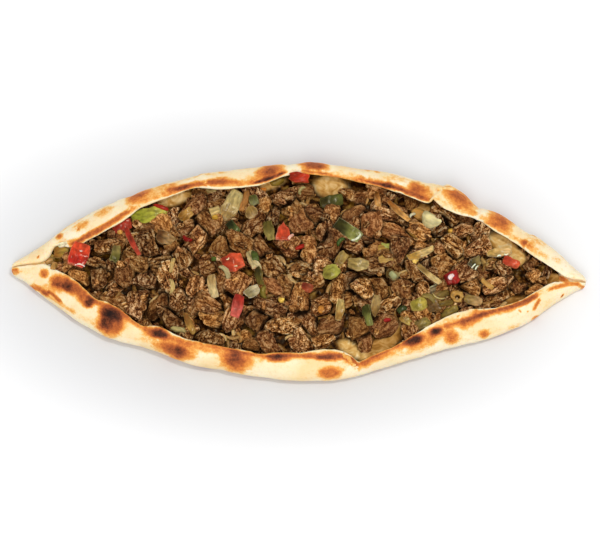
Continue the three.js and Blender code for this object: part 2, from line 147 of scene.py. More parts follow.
def mixNode(tree, share, first, second, blend="MIX"):
    values, links = valuesAndLinks({0: share, 6: first, 7: second})
    return addNode(tree, "ShaderNodeMix", values, links, data_type="RGBA", blend_type=blend).outputs[2]


def bumpNode(tree, height, strength, distance):
    values = {"Strength": strength, "Distance": distance}
    return addNode(tree, "ShaderNodeBump", values, {"Height": height}).outputs[0]


def addSurface(tree, values, links):
    shader = addNode(tree, "ShaderNodeBsdfPrincipled", values, links)
    addNode(tree, "ShaderNodeOutputMaterial", None, {"Surface": shader.outputs[0]})


def newMaterial(name):
    material = bpy.data.materials.new(name)
    material.use_nodes = True
    material.node_tree.nodes.clear()
    return material, material.node_tree


def deselect():
    for item in bpy.context.view_layer.objects:
        item.select_set(False)


def makeActive(piece):
    deselect()
    piece.select_set(True)
    bpy.context.view_layer.objects.active = piece


def editWhole(operator, **settings):  # runs an edit mode operator on all of the active mesh
    bpy.ops.object.mode_set(mode="EDIT")
    bpy.ops.mesh.select_all(action="SELECT")
    operator(**settings)
    bpy.ops.object.mode_set(mode="OBJECT")


def newObject(name, data):
    item = bpy.data.objects.new(name, data)
    bpy.context.scene.collection.objects.link(item)
    return item


def copyOfNode(name, pieceName):  # a merged copy of a frame node, as a new object
    piece = newObject(pieceName, frameNodes[name].data.copy())
    piece.data.materials.clear()
    makeActive(piece)
    editWhole(bpy.ops.mesh.remove_doubles, threshold=0.01 * mm)
    return piece


def applyModifier(piece, kind, **settings):
    modifier = piece.modifiers.new(kind.title(), kind)
    for name, value in settings.items():
        setattr(modifier, name, value)
    makeActive(piece)
    bpy.ops.object.modifier_apply(modifier=modifier.name)


def join(pieces, name):
    makeActive(pieces[0])
    for piece in pieces:
        piece.select_set(True)
    bpy.ops.object.join()
    joined = bpy.context.view_layer.objects.active
    joined.name = name
    joined.data.name = name
    return joined


def vertexPlaces(piece):
    places = np.empty(len(piece.data.vertices) * 3)
    piece.data.vertices.foreach_get("co", places)
    return places.reshape(-1, 3)


def vertexNormals(piece):
    normals = np.empty(len(piece.data.vertices) * 3)
    piece.data.vertex_normals.foreach_get("vector", normals)
    return normals.reshape(-1, 3)


def placeVertices(piece, places):
    piece.data.vertices.foreach_set("co", np.asarray(places, dtype=float).ravel())
    piece.data.update()


def setAttribute(piece, name, values):  # one number, a vector or a colour at each vertex
    values = np.asarray(values, dtype=np.float32)
    width = 1 if values.ndim == 1 else values.shape[1]
    kind, field = {1: ("FLOAT", "value"), 3: ("FLOAT_VECTOR", "vector"), 4: ("FLOAT_COLOR", "color")}[width]
    attribute = piece.data.attributes.new(name, kind, "POINT")
    attribute.data.foreach_set(field, values.ravel())


def spread(piece, values, rounds):  # averages a number over neighbouring vertices
    edges = np.empty(len(piece.data.edges) * 2, dtype=int)
    piece.data.edges.foreach_get("vertices", edges)
    a, b = edges.reshape(-1, 2).T
    count = np.bincount(a, minlength=len(values)) + np.bincount(b, minlength=len(values)) + 1
    for _ in range(rounds):
        total = values + np.bincount(a, values[b], len(values)) + np.bincount(b, values[a], len(values))
        values = total / count
    return values


def treeOf(*pieces):  # one search tree over several meshes
    corners, faces = [], []
    for piece in pieces:
        start = len(corners)
        corners += [v.co for v in piece.data.vertices]
        faces += [[start + i for i in face.vertices] for face in piece.data.polygons]
    return BVHTree.FromPolygons(corners, faces)


def finishPiece(piece, material, slot, *nodes):
    piece.data.materials.clear()
    piece.data.materials.append(material)
    makeActive(piece)
    bpy.ops.object.shade_smooth()
    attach(piece, "root")
    if nodes:
        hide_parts(*nodes)


cameraSettings = {
    "lens": 100, "sensor": 36,
    "imageWidth": 600, "imageHeight": 545,  # pixels
    "pixelSize": 0.6087,  # at the height of the folded edges
    "elevation": 72, "roll": 1.4,  # degrees
    "lookAt": (0.6, -2.9, 10),
    "clipEnd": 20,  # metres
}


def cameraAxes(settings):
    elevation, roll = math.radians(settings["elevation"]), math.radians(settings["roll"])
    level = Vector((1, 0, 0))
    rise = Vector((0, math.sin(elevation), math.cos(elevation)))
    back = Vector((0, -math.cos(elevation), math.sin(elevation)))
    right = level * math.cos(roll) + rise * math.sin(roll)
    up = rise * math.cos(roll) - level * math.sin(roll)
    return right, up, back


def makeCamera(settings):
    right, up, back = cameraAxes(settings)
    distance = settings["pixelSize"] * settings["imageWidth"] * settings["lens"] / settings["sensor"]
    place = (Vector(settings["lookAt"]) + back * distance) * mm
    lens = bpy.data.cameras.new("camera")
    lens.lens = settings["lens"]
    lens.sensor_width = settings["sensor"]
    lens.clip_end = cameraSettings["clipEnd"]
    camera = newObject("camera", lens)
    camera.matrix_world = Matrix.Translation(place) @ Matrix((right, up, back)).transposed().to_4x4()
    bpy.context.scene.camera = camera
    return place


cameraPlace = makeCamera(cameraSettings)


def toPixels(places):  # where points in metres show in the camera's view
    right, up, back = (np.array(axis) for axis in cameraAxes(cameraSettings))
    width, height = cameraSettings["imageWidth"], cameraSettings["imageHeight"]
    away = places - np.array(cameraPlace)
    scale = width * cameraSettings["lens"] / cameraSettings["sensor"] / -(away @ back)
    return np.stack([width / 2 + away @ right * scale, height / 2 - away @ up * scale], axis=1)


def castPixel(tree, pixel):  # the point and normal that a tree shows at a pixel
    right, up, back = cameraAxes(cameraSettings)
    perPixel = cameraSettings["sensor"] / cameraSettings["lens"] / cameraSettings["imageWidth"]
    across = (pixel[0] - cameraSettings["imageWidth"] / 2) * perPixel
    rise = (cameraSettings["imageHeight"] / 2 - pixel[1]) * perPixel
    hit, normal, _, _ = tree.ray_cast(cameraPlace, (right * across + up * rise - back).normalized())
    return hit, normal


crustSettings = {
    "waves": (16, 0.7),  # size and height of each layer of relief
    "dents": (6, 0.3),
    "blister": 0.55,
    "crinkle": (2.2, 0.16),
    "lipDepth": 2.4,  # how far below the lip the inner face turns wet
    "burnEdge": (0.28, 1.4),  # where a scorched mark starts to fade, and where it ends, in its own size
    "blush": 0.34, "crestBlush": 0.2, "mottle": 0.16,  # browning of the lips, the crests and the top
    "underside": (0.16, 0.5), "back": 0.55,  # scorching on the unseen sides
}


def oval(x, y, length, width, turn, **more):  # pixels of the camera's view: middle, half sizes, clockwise turn
    return {"pixel": (x, y), "size": (length, width), "turn": turn, **more}


def scorchedStrip(width, burn, *through):  # half width, burn and the pixels that it runs through
    return {"through": through, "width": width, "burn": burn}


# Scorched spots; a burn of 0.3 is golden, 0.6 brown and 1 charred.
burnSpots = [
    oval(15, 271, 4, 3.5, 0, burn=0.4),
    oval(562, 279, 7.5, 3, 20, burn=0.5),  # in the narrow end of the trough
    oval(44, 274, 4.5, 4.5, 0, burn=0.55),
    oval(68, 288, 6, 4, 25, burn=0.55),
    oval(89, 302.5, 4, 5, 0, burn=0.6),
    oval(112, 322, 16, 13, -10, burn=0.62),
    oval(110, 314, 11, 6.5, 25, burn=0.95),
    oval(105, 322, 7, 6, 0, burn=0.6),
    oval(82, 225, 11, 3.5, -27, burn=0.22),
    oval(104, 212, 12, 4.5, -28, burn=0.24),
    oval(59.5, 236.5, 4, 2.5, -25, burn=0.5),
    oval(139, 197.5, 13, 5, -24, burn=0.45),
    oval(158, 333.5, 12, 5.5, 12, burn=0.8),
    oval(172, 338, 25, 4, 17, burn=0.42),
    oval(177, 351, 20.5, 8.5, 12, burn=0.5),
    oval(180, 351, 9, 6.5, 30, burn=0.42),
    oval(234, 361, 18, 11.5, 8, burn=0.5),
    oval(236, 358.5, 9, 8.5, 40, burn=0.45),
    oval(279, 358, 11, 4, 0, burn=0.62),
    oval(324, 358, 14, 3.2, 2, burn=0.6),
    oval(329, 373, 13, 7.5, 2, burn=0.48),
    oval(415, 340, 10, 4.5, -22, burn=0.85),
    oval(436, 331, 8, 5, -22, burn=0.9),
    oval(424, 341, 22, 8, -24, burn=0.32),
    oval(452, 336, 8, 8, 0, burn=0.45),
    oval(470, 321, 14, 6, -25, burn=0.42),
    oval(484, 334, 5, 4.5, 0, burn=0.45),
    oval(535, 317.5, 5, 2.5, -25, burn=0.38),
    oval(514, 326, 8, 4, -20, burn=0.15),
    oval(221, 180.5, 16, 3.6, -6, burn=0.34),
    oval(181, 188, 13, 3.4, -12, burn=0.33),
    oval(270, 171, 14, 6.5, -12, burn=0.6),
    oval(313.5, 166, 15, 5, 5, burn=0.62),
    oval(386, 185, 7, 3, 8, burn=0.42),
    oval(419, 190, 12, 7, 22, burn=0.48),
    oval(459, 200, 22, 7, 32, burn=0.42),
    oval(459, 197, 11, 4, 25, burn=0.24),
    oval(500, 221, 16, 9, 34, burn=0.45),
    oval(503, 224, 9, 4, 34, burn=0.2),
    oval(525, 243, 5, 4, 20, burn=0.5),
    oval(558, 261, 6, 3, 30, burn=0.12),
    oval(38, 257, 1.3, 1.3, 0, burn=0.8),
    oval(79, 230, 1.2, 1.2, 0, burn=0.6),
    oval(562.5, 296, 1.4, 1.4, 0, burn=0.85),
] + [oval(x, y, 1.2, 1.2, 0, burn=0.6) for x, y in ((520, 311), (528, 311), (443, 353), (457, 316))]

burnStrips = [
    scorchedStrip(6.5, 0.55, (56, 282), (66, 286), (78, 291), (88, 302)),
    scorchedStrip(2.8, 0.42, (33, 287), (40, 289), (47, 294)),
    scorchedStrip(1.8, 0.5, (49, 291.5), (54, 295.5), (60, 301)),
    scorchedStrip(2.6, 0.2, (44, 293), (56, 301), (66, 308), (74, 312)),
    scorchedStrip(3, 0.4, (94, 300.5), (110, 305), (123, 313), (132, 321.5), (146, 328)),
    scorchedStrip(3, 0.5, (72, 246), (84, 238.5), (97, 231), (110, 223.5), (123, 214.5), (132, 209.5)),
    scorchedStrip(2.4, 0.28, (168, 190), (189, 187), (205, 183.5), (237, 181.5)),
    scorchedStrip(1.8, 0.72, (255, 183), (276, 176.5), (284, 172.5)),
    scorchedStrip(2, 0.52, (303, 172), (327, 175), (347, 179), (368, 183), (386, 186), (402, 190)),
    scorchedStrip(2.5, 0.4, (405, 192), (420, 197), (433, 201)),
    scorchedStrip(3, 0.45, (190, 338), (205, 343), (240, 351), (264, 355.5), (289, 354.5), (316, 356.5),
                  (340, 356)),
    scorchedStrip(2.6, 0.08, (340, 356), (350, 360), (357, 364), (366, 360), (376, 355)),
    scorchedStrip(3, 0.42, (376, 355), (393, 346.5), (410, 341)),
    scorchedStrip(2.6, 0.5, (446, 326), (467, 320), (485, 314), (503, 308.5), (524, 303), (536, 296)),
    scorchedStrip(1.8, 0.45, (539, 300), (534, 309)),
    scorchedStrip(2.2, 0.38, (549, 289.5), (560, 286), (570, 284), (578, 284), (583, 288)),
    scorchedStrip(2.6, 0.15, (515, 237), (528, 245), (536, 249.5), (547, 257)),
    scorchedStrip(1.3, 0.5, (537, 237.5), (544, 241)),
    scorchedStrip(1.3, 0.5, (556, 248), (562, 255)),
]

# Where one fold of the far edge ends on the next: the line between them, and how far its rise runs on.
foldSteps = [
    {"from": (299, 171), "to": (289, 163), "run": 40, "height": 0.7},
    {"from": (431, 199), "to": (444, 187), "run": 45, "height": 1.1},
    {"from": (477, 217), "to": (484, 204), "run": 40, "height": 0.9},
    {"from": (524, 247), "to": (530, 238), "run": 30, "height": 0.5},
    {"from": (206, 186), "to": (200, 177), "run": 50, "height": 0.5},
    {"from": (132, 211), "to": (120, 204), "run": 45, "height": 0.5},
]


def foldRise(places, farSide):  # height of the overlapping folds, and the thin pale edge of each, which is partly a painted highlight
    pixels = toPixels(places)
    rise, edge = np.zeros(len(places)), np.zeros(len(places))
    for step in foldSteps:
        a, b = np.array(step["from"], float), np.array(step["to"], float)
        along = (b - a) / np.linalg.norm(b - a)
        away = (pixels - a) @ np.array([-along[1], along[0]]) + 0.8 * noiseAt(places, 6 * mm, 41)
        rise += farSide * step["height"] * smoothStep(-0.8, 1.2, away) * (1 - smoothStep(0, step["run"], away))
        rise -= farSide * 0.35 * step["height"] * np.exp(-((away + 2.2) / 1.6) ** 2)
        edge = np.maximum(edge, farSide * np.exp(-((away - 1) / 1.1) ** 2))
    return rise, edge


def ovalDistance(spot, pixels):  # 1 on the edge of an oval in the camera's view
    turn = math.radians(spot["turn"])
    away = pixels - np.array(spot["pixel"])
    along = (away[:, 0] * math.cos(turn) + away[:, 1] * math.sin(turn)) / spot["size"][0]
    across = (away[:, 1] * math.cos(turn) - away[:, 0] * math.sin(turn)) / spot["size"][1]
    return np.hypot(along, across)


def spotLevel(spot, pixels, places, tree):
    hit, _ = castPixel(tree, spot["pixel"])
    if hit is None:
        return np.zeros(len(places)), np.full(len(places), 9.0)
    reach = (max(spot["size"]) * cameraSettings["pixelSize"] * 1.5 + 4) * mm
    near = 1 - smoothStep(0.75, 1.1, np.linalg.norm(places - np.array(hit), axis=1) / reach)
    return near, ovalDistance(spot, pixels)


def stripLevel(strip, pixels, places, tree):
    best = np.full(len(places), 99.0)
    near = np.zeros(len(places))
    for start, end in zip(strip["through"], strip["through"][1:]):
        a, b = np.array(start, float), np.array(end, float)
        share = np.clip(((pixels - a) @ (b - a)) / ((b - a) @ (b - a)), 0, 1)
        best = np.minimum(best, np.linalg.norm(pixels - a - share[:, None] * (b - a), axis=1))
        hits = [castPixel(tree, pixel)[0] for pixel in (start, (a + b) / 2, end)]
        for hit in filter(None, hits):
            reach = (np.linalg.norm(b - a) * cameraSettings["pixelSize"] * 0.5 + 5) * mm
            away = np.linalg.norm(places - np.array(hit), axis=1)
            near = np.maximum(near, 1 - smoothStep(0.8, 1.2, away / reach))
    return near, best / strip["width"]


def crustBrowning(places, tree):
    pixels = toPixels(places)
    ragged = 0.26 * noiseAt(places, 7 * mm, 3) + 0.1 * noiseAt(places, 2.5 * mm, 4)
    browning = np.zeros(len(places))
    marks = [(spotLevel, spot) for spot in burnSpots] + [(stripLevel, strip) for strip in burnStrips]
    for level, mark in marks:
        near, distance = level(mark, pixels, places, tree)
        shade = mark["burn"] * near * (1 - smoothStep(*crustSettings["burnEdge"], distance + ragged))
        browning = browning + shade * (1 - browning)
    return browning


def columnsOf(places, step):  # the number of each vertex's column along the boat
    column = np.round(places[:, 0] / step).astype(int)
    return column - column.min()


def rimHeights(places, middle, step=3 * mm):  # height of the lip on each vertex's own side
    side = places[:, 1] > middle
    column = columnsOf(places, step)
    heights = np.zeros(len(places))
    for half in (True, False):
        top = np.zeros(column.max() + 1)
        np.maximum.at(top, column[side == half], places[side == half, 2])
        heights[side == half] = top[column[side == half]]
    return heights


def middleLine(places):  # the boat's middle in Y at each vertex
    column = columnsOf(places, 5 * mm)
    low, high = np.full(column.max() + 1, 9.0), np.full(column.max() + 1, -9.0)
    np.minimum.at(low, column, places[:, 1])
    np.maximum.at(high, column, places[:, 1])
    return ((low + high) / 2)[column]


def innerFaces(places, normals):  # 1 on the faces that the filling's fat reaches
    middle = middleLine(places)
    below = rimHeights(places, middle) - places[:, 2]
    inward = -np.sign(places[:, 1] - middle) * normals[:, 1]
    wall = (inward > 0.25) & (below > crustSettings["lipDepth"] * mm)
    underLip = (normals[:, 2] < -0.3) & (places[:, 2] > 8 * mm)
    floor = (normals[:, 2] > 0.5) & (places[:, 2] < 8 * mm)
    return (wall | underLip | floor).astype(float)


def lipDistance(places, step=2 * mm):  # how far each vertex stands out from the inner edge of its lip, in mm
    middle = middleLine(places)
    below = rimHeights(places, middle) - places[:, 2]
    out = np.abs(places[:, 1] - middle) / mm
    column = columnsOf(places, step)
    position = places[:, 0] / step - np.round(places[:, 0] / step).min()
    distance = np.zeros(len(places))
    unset = 99.0
    for side in (places[:, 1] > middle, places[:, 1] <= middle):
        edge = np.full(column.max() + 1, unset)
        onLip = side & (below < 3 * mm)
        np.minimum.at(edge, column[onLip], out[onLip])
        filled = edge < unset
        edge = np.interp(position[side], np.arange(len(edge))[filled], edge[filled])
        distance[side] = out[side] - edge
    return distance


def lipLineAndHighlight(places):  # the thin edge of the lip, which stays pale, and a painted highlight along it
    patchy = np.clip(0.75 + 0.9 * noiseAt(places, 9 * mm, 37), 0.2, 1)
    return patchy * (1 - smoothStep(0.3, 1.3, lipDistance(places) + 0.4 * noiseAt(places, 5 * mm, 36)))


def goldenBlush(places, normals):  # colour that the oven's heat gives the lips and the crests of the folds
    distance = lipDistance(places) + 0.8 * noiseAt(places, 8 * mm, 31)
    band = smoothStep(0.6, 1.6, distance) * (1 - smoothStep(3.2, 6, distance))
    patchy = 0.5 + 0.9 * noiseAt(places, 20 * mm, 32, (0.6, 1, 1)) + 0.35 * noiseAt(places, 4 * mm, 33)
    up = smoothStep(0.2, 0.8, normals[:, 2])
    crest = up * smoothStep(0.05, 0.6, noiseAt(places, 15 * mm, 34, (0.5, 1, 1)))
    tips = 1 - 0.8 * smoothStep(138 * mm, 152 * mm, np.abs(places[:, 0]))
    mottling = noiseAt(places, 9 * mm, 35, (0.45, 1, 1)) + 0.3 * noiseAt(places, 3 * mm, 39)
    mottled = up * smoothStep(0.15, 0.55, mottling)
    blush = crustSettings["blush"] * band * np.clip(patchy, 0.15, 1) + crustSettings["crestBlush"] * crest
    return np.clip(blush, 0, 1) * tips + crustSettings["mottle"] * mottled


def undersideSpots(places, normals):  # the oven floor's own scorching, where the bread lay on it
    down = smoothStep(0.3, 0.8, -normals[:, 2]) * (places[:, 2] < 6 * mm)
    blotches = noiseAt(places, 16 * mm, 7) + 0.5 * noiseAt(places, 6 * mm, 8)
    least, more = crustSettings["underside"]
    return down * (least + more * smoothStep(0.05, 0.7, blotches))


def backSpots(places, normals):  # spots on the far outer wall
    hidden = smoothStep(0.1, 0.6, normals[:, 1]) * smoothStep(-0.2, 0.3, places[:, 1] / (30 * mm))
    outward = hidden * (1 - smoothStep(0.5, 0.9, normals[:, 2]))
    blotches = noiseAt(places, 13 * mm, 21) + 0.4 * noiseAt(places, 5 * mm, 22)
    return outward * crustSettings["back"] * smoothStep(0.25, 0.75, blotches)


def makeCrust():
    crust = copyOfNode("dough", "crust")
    flattest = math.radians(60)
    editWhole(bpy.ops.mesh.tris_convert_to_quads, face_threshold=flattest, shape_threshold=flattest)
    applyModifier(crust, "SUBSURF", levels=2, render_levels=2)
    places, normals = vertexPlaces(crust), vertexNormals(crust)
    wetAndShaded = spread(crust, innerFaces(places, normals), 2)
    shown = crustBrowning(places, treeOf(crust)) * (1 - wetAndShaded)
    golden = goldenBlush(places, normals) * (1 - wetAndShaded)
    shown = shown + golden * (1 - shown)
    farSide = (places[:, 1] > middleLine(places)) * (1 - wetAndShaded) * smoothStep(-0.2, 0.5, normals[:, 2])
    steps, paleEdge = foldRise(places, farSide)
    lip = lipLineAndHighlight(places) * (1 - wetAndShaded)
    # pale edges of the folds and the lip: unbrowned dough, partly a painted highlight
    shown = shown * (1 - np.maximum(0.75 * paleEdge, 0.6 * lip))
    unseen = np.maximum(undersideSpots(places, normals), backSpots(places, normals)) * (1 - wetAndShaded)
    browning = np.maximum(shown, unseen)
    relief = sum(height * noiseAt(places, size * mm, i)
                 for i, (size, height) in enumerate([crustSettings["waves"], crustSettings["dents"]]))
    crinkleSize, crinkleHeight = crustSettings["crinkle"]
    relief = relief + steps + lip * (0.25 + 0.6 * noiseAt(places, 4 * mm, 38))
    blister = spread(crust, browning, 2)
    relief += crustSettings["blister"] * blister * (places[:, 2] > 2 * mm)
    relief += crinkleHeight * noiseAt(places, crinkleSize * mm, 9) * (0.35 + blister)
    places = places + normals * (relief * mm * smoothStep(0.2 * mm, 2 * mm, places[:, 2]))[:, None]
    places[:, 2] = np.maximum(places[:, 2], 0)
    placeVertices(crust, places)
    setAttribute(crust, "browning", browning)
    setAttribute(crust, "wetAndShaded", wetAndShaded)
    return crust


breadColours = {
    "pale": [(0.3, "#fbeed0"), (0.5, "#fae6be"), (0.7, "#f5d69e")],
    "speckle": "#efc172",
    "scorch": [(0.0, "#f9deaa"), (0.13, "#f6c678"), (0.27, "#eba048"), (0.42, "#d47a34"), (0.58, "#ae5a2a"),
               (0.72, "#7c3c1e"), (0.86, "#46200e"), (1.0, "#200a04")],
    # oily dough of the inner faces, painted lighter as painted light where the lips shade it
    "oiledAndPaintedLight": [(0.3, "#e6b468"), (0.5, "#f6cc84"), (0.7, "#ffe6b0")],
}


# Baked flatbread: a dry, matt, floury skin, cream where it stayed pale, golden to charred where it blistered.
def breadMaterial():
    material, tree = newMaterial("baked_flatbread")
    place = objectPlace(tree)
    browning, wetAndShaded = attributeNode(tree, "browning"), attributeNode(tree, "wetAndShaded")
    blotch = noiseNode(tree, place, 1 / (22 * mm), 3)
    skin = noiseNode(tree, place, 1 / (2.4 * mm), 5, 0.6)
    grain = noiseNode(tree, place, 1 / (1 * mm), 3, 0.7)
    uneven = mathNode(tree, "MULTIPLY_ADD", grain, 0.7, skin)
    edge = mathNode(tree, "MULTIPLY", mathNode(tree, "SUBTRACT", uneven, 0.85), 0.54)
    marked = mathNode(tree, "MULTIPLY", browning, 4.0, clamp=True)
    burn = mathNode(tree, "ADD", browning, mathNode(tree, "MULTIPLY", edge, marked))
    pale = rampNode(tree, blotch, breadColours["pale"])
    toasted = mixNode(tree, rangeNode(tree, uneven, 0.88, 1.12, toMax=0.5), pale, breadColours["speckle"])
    scorch = rampNode(tree, burn, breadColours["scorch"])
    dry = mixNode(tree, rangeNode(tree, burn, 0.03, 0.18), toasted, scorch)
    # painted light on the shaded inner faces under the lips
    oiledAndPaintedLight = rampNode(tree, blotch, breadColours["oiledAndPaintedLight"])
    height = mathNode(tree, "MULTIPLY_ADD", grain, 0.35, skin)
    addSurface(tree, {"IOR": 1.45, "Specular IOR Level": 0.18, "Subsurface Weight": 0.25,
                      "Subsurface Radius": (1.0, 0.6, 0.3), "Subsurface Scale": 2.5 * mm},
               {"Base Color": mixNode(tree, wetAndShaded, dry, oiledAndPaintedLight),
                "Roughness": rangeNode(tree, wetAndShaded, toMin=0.55, toMax=0.3),
                "Normal": bumpNode(tree, height, 0.55, 0.35 * mm)})
    return material


crust = makeCrust()
breadLook = breadMaterial()
finishPiece(crust, breadLook, "crust", "dough")
crustTree = treeOf(crust)
print("crust", len(crust.data.polygons), "faces")


# The bed of juice and scraps under the beef.
bedSettings = {
    "start": -152, "end": 158, "floor": 4.5,
    "edgeHeight": 8, "crown": 4, "halfWidth": 56, "halfLength": 165,
    "columns": 220, "rows": 90,
    "lumps": (6.5, 1.8), "scraps": (2.4, 1.1),
    "slope": 13, "bareHeights": (8, 14), "paleRise": 2.5,  # bare dough rises this far to the wall
    "overlap": 0.4,  # how far the bed runs into the walls
    "bareEdge": (0.65, 1.15), "paleEdge": (0.9, 1.6),  # where a bare or pale oval fades, in its own size
    "endMargin": 6,  # no small pieces this near the ends
}

# Where oily dough shows between the filling and the folded edge.
bareSpots = [
    # pale marks how far each spot is painted lighter, as painted light against the walls' shade
    oval(331, 187, 19, 12, 10, pale=0.5),
    oval(269, 184, 18, 6, -16, pale=0.5),
    oval(173, 200, 21, 6, -18, pale=0.4),
    oval(424, 213, 13, 9, 20),
    oval(504, 246, 20, 9, 36, pale=1),
    oval(517, 257, 10, 8, 50, pale=1),
    oval(350, 350, 15, 8, 38, pale=0.8),
    oval(380, 347, 28, 9, -35),
    oval(396, 327, 9, 6, -60),
    oval(512, 301, 14, 4.5, -12),
    oval(553, 281, 12, 7, 10),
]


def barenessAt(places):  # 1 where the dough shows, for points in metres
    pixels = toPixels(places)
    return np.max([1 - smoothStep(*bedSettings["bareEdge"], ovalDistance(spot, pixels))
                   for spot in bareSpots], axis=0)


def palenessAt(places):  # how far bare dough is light rather than golden: paler dough, and painted light that makes up for the shade of the walls
    pixels = toPixels(places)
    return np.max([spot.get("pale", 0) * (1 - smoothStep(*bedSettings["paleEdge"], ovalDistance(spot, pixels)))
                   for spot in bareSpots], axis=0)


def moundHalfWidth(x):  # x in millimetres
    return bedSettings["halfWidth"] * np.maximum(0.05, 1 - (x / bedSettings["halfLength"]) ** 2)


def coreTop(x, y):  # height of the bed before its lumps
    across = np.clip(np.abs(y) / moundHalfWidth(x), 0, 1)
    rise = (1 - across ** 2) * np.clip(moundHalfWidth(x) / 30, 0, 1)
    return bedSettings["edgeHeight"] + bedSettings["crown"] * rise


def wallAt(x, side):  # where the inside of the wall stands, found from the crust itself
    level = lerp(7, 9.5, smoothStep(140, 150, abs(x)))
    for start in (0, -8, 8, -14):
        hit, normal, _, _ = crustTree.ray_cast(Vector((x, start, level)) * mm, Vector((0, side, 0)))
        if hit and normal.y * side < 0:
            return hit.y / mm
    return side * 2.0


def makeBed():
    start, end = bedSettings["start"], bedSettings["end"]
    deselect()
    bpy.ops.mesh.primitive_grid_add(x_subdivisions=bedSettings["columns"],
                                    y_subdivisions=bedSettings["rows"], size=1)
    bed = bpy.context.object
    bed.name = "juice_bed"
    places = vertexPlaces(bed)
    x = lerp(start, end, places[:, 0] + 0.5)
    columns = np.unique(np.round(x, 3))
    far = np.array([wallAt(c, 1) for c in columns]) + bedSettings["overlap"]
    near = np.array([wallAt(c, -1) for c in columns]) - bedSettings["overlap"]
    farWall, nearWall = np.interp(x, columns, far), np.interp(x, columns, near)
    y = lerp(nearWall, farWall, places[:, 1] + 0.5)
    flat = np.stack([x, y, np.zeros_like(x)], axis=1)
    lumps = sum(height * noiseAt(flat, size, seed)
                for seed, (size, height) in enumerate([bedSettings["lumps"], bedSettings["scraps"]], 11))
    top = coreTop(x, y)
    surface = np.stack([x, y, top], axis=1) * mm
    bare, pale = barenessAt(surface), palenessAt(surface)
    slope = 1 - smoothStep(0, bedSettings["slope"], np.minimum(farWall - y, y - nearWall))
    smooth = lerp(*bedSettings["bareHeights"], slope) + bedSettings["paleRise"] * pale + 0.15 * lumps
    z = lerp(top + lumps, smooth, bare)
    placeVertices(bed, np.stack([x, y, z], axis=1) * mm)
    setAttribute(bed, "bare", bare)
    setAttribute(bed, "pale", pale)
    makeActive(bed)
    bpy.ops.object.mode_set(mode="EDIT")
    bpy.ops.mesh.select_all(action="SELECT")
    bpy.ops.mesh.extrude_region_move(TRANSFORM_OT_translate={"value": (0, 0, -1)})
    bpy.ops.mesh.select_all(action="DESELECT")
    bpy.ops.object.mode_set(mode="OBJECT")
    places = vertexPlaces(bed)
    bottom = places[:, 2] < 0
    places[bottom, 2] = (bedSettings["floor"] + 0.2) * mm
    placeVertices(bed, places)
    editWhole(bpy.ops.mesh.normals_make_consistent, inside=False)
    return bed


juiceColours = {
    # near-black deep juice, partly painted shade in the gaps between the pieces
    "dark": [(0.36, "#100400"), (0.52, "#301604"), (0.68, "#70481c")],
    "golden": [(0.34, "#3c2204"), (0.5, "#704c12"), (0.66, "#a4803a")],
    "oily": [(0.3, "#865822"), (0.5, "#b8843e"), (0.68, "#d8aa66")],
    # painted light: the bare dough is lighter where the walls shade it
    "light": [(0.32, "#ca944a"), (0.5, "#eabe70"), (0.68, "#f9e2a9")],
}


# Cooking juice and fat round scraps of meat: glossy, olive to brown, thin over the dough. Its near-black deep
# parts are also painted shade in the gaps between the pieces, and the thin bare dough is painted lighter where
# the walls shade it.
def juiceMaterial():
    material, tree = newMaterial("cooking_juice")
    place = objectPlace(tree)
    bare, pale = attributeNode(tree, "bare"), attributeNode(tree, "pale")
    scraps = noiseNode(tree, place, 1 / (3 * mm), 4)
    pool = noiseNode(tree, place, 1 / (13 * mm), 3)
    waves = noiseNode(tree, place, 1 / (6 * mm), 3, distortion=1.2)
    dark, golden = rampNode(tree, scraps, juiceColours["dark"]), rampNode(tree, scraps, juiceColours["golden"])
    deep = mixNode(tree, rangeNode(tree, pool, 0.55, 0.66), dark, golden)
    oily, light = rampNode(tree, waves, juiceColours["oily"]), rampNode(tree, waves, juiceColours["light"])
    thin = mixNode(tree, pale, oily, light)
    height = mathNode(tree, "MULTIPLY", scraps, rangeNode(tree, bare, toMin=1.0, toMax=0.25))
    addSurface(tree, {"IOR": 1.33, "Roughness": 0.2, "Specular IOR Level": 0.15,
                      "Specular Tint": (1, 0.75, 0.45, 1)},
               {"Base Color": mixNode(tree, bare, deep, thin),
                "Normal": bumpNode(tree, height, 0.5, 0.4 * mm)})
    return material


bed = makeBed()
finishPiece(bed, juiceMaterial(), "beef", "beef_heap")
print("bed", len(bed.data.polygons), "faces")


beefSettings = {
    "seed": 309, "pitchX": 14, "pitchY": 11.8, "jitter": 3.2,
    "length": (13, 23), "width": (9.5, 14), "thickness": (7.5, 10.5), "tilt": 22,
    "rows": 5, "columns": 12,
    "cuts": 16,  # cuts along each side of a block
    "stripRatio": 1.5,  # length over width from which a piece is a strip
    "fold": 2.8, "foldDepth": 0.85,  # distance between folds in the meat, and their depth
    "lump": (6.5, 0.8),
    "topLimit": 22.4,
    "roundness": (0.2, 0.55), "roundingSeed": 41,
    "bareReach": 0.22,  # share of a dice's length that may not lie on bare dough
}

fillerSettings = {  # lower pieces that show between the dice
    "seed": 5, "count": 150, "tries": 12,
    "length": (9, 16), "width": (7, 11), "thickness": (6, 8), "tilt": 35,
    "cuts": 9, "fold": 2.3, "foldDepth": 0.65, "lump": (5, 0.7), "topLimit": 19.5, "sink": (-1, 2),
}

crumbSettings = {  # scraps and crumbs on top and in the gaps
    "seed": 8, "count": 200, "tries": 3,
    "length": (3.5, 8), "width": (2.4, 5), "thickness": (2, 3.6), "tilt": 40,
    "cuts": 5, "fold": 1.9, "foldDepth": 0.5, "lump": (3, 0.4), "topLimit": 21.5, "sink": (-0.8, 0.6),
}


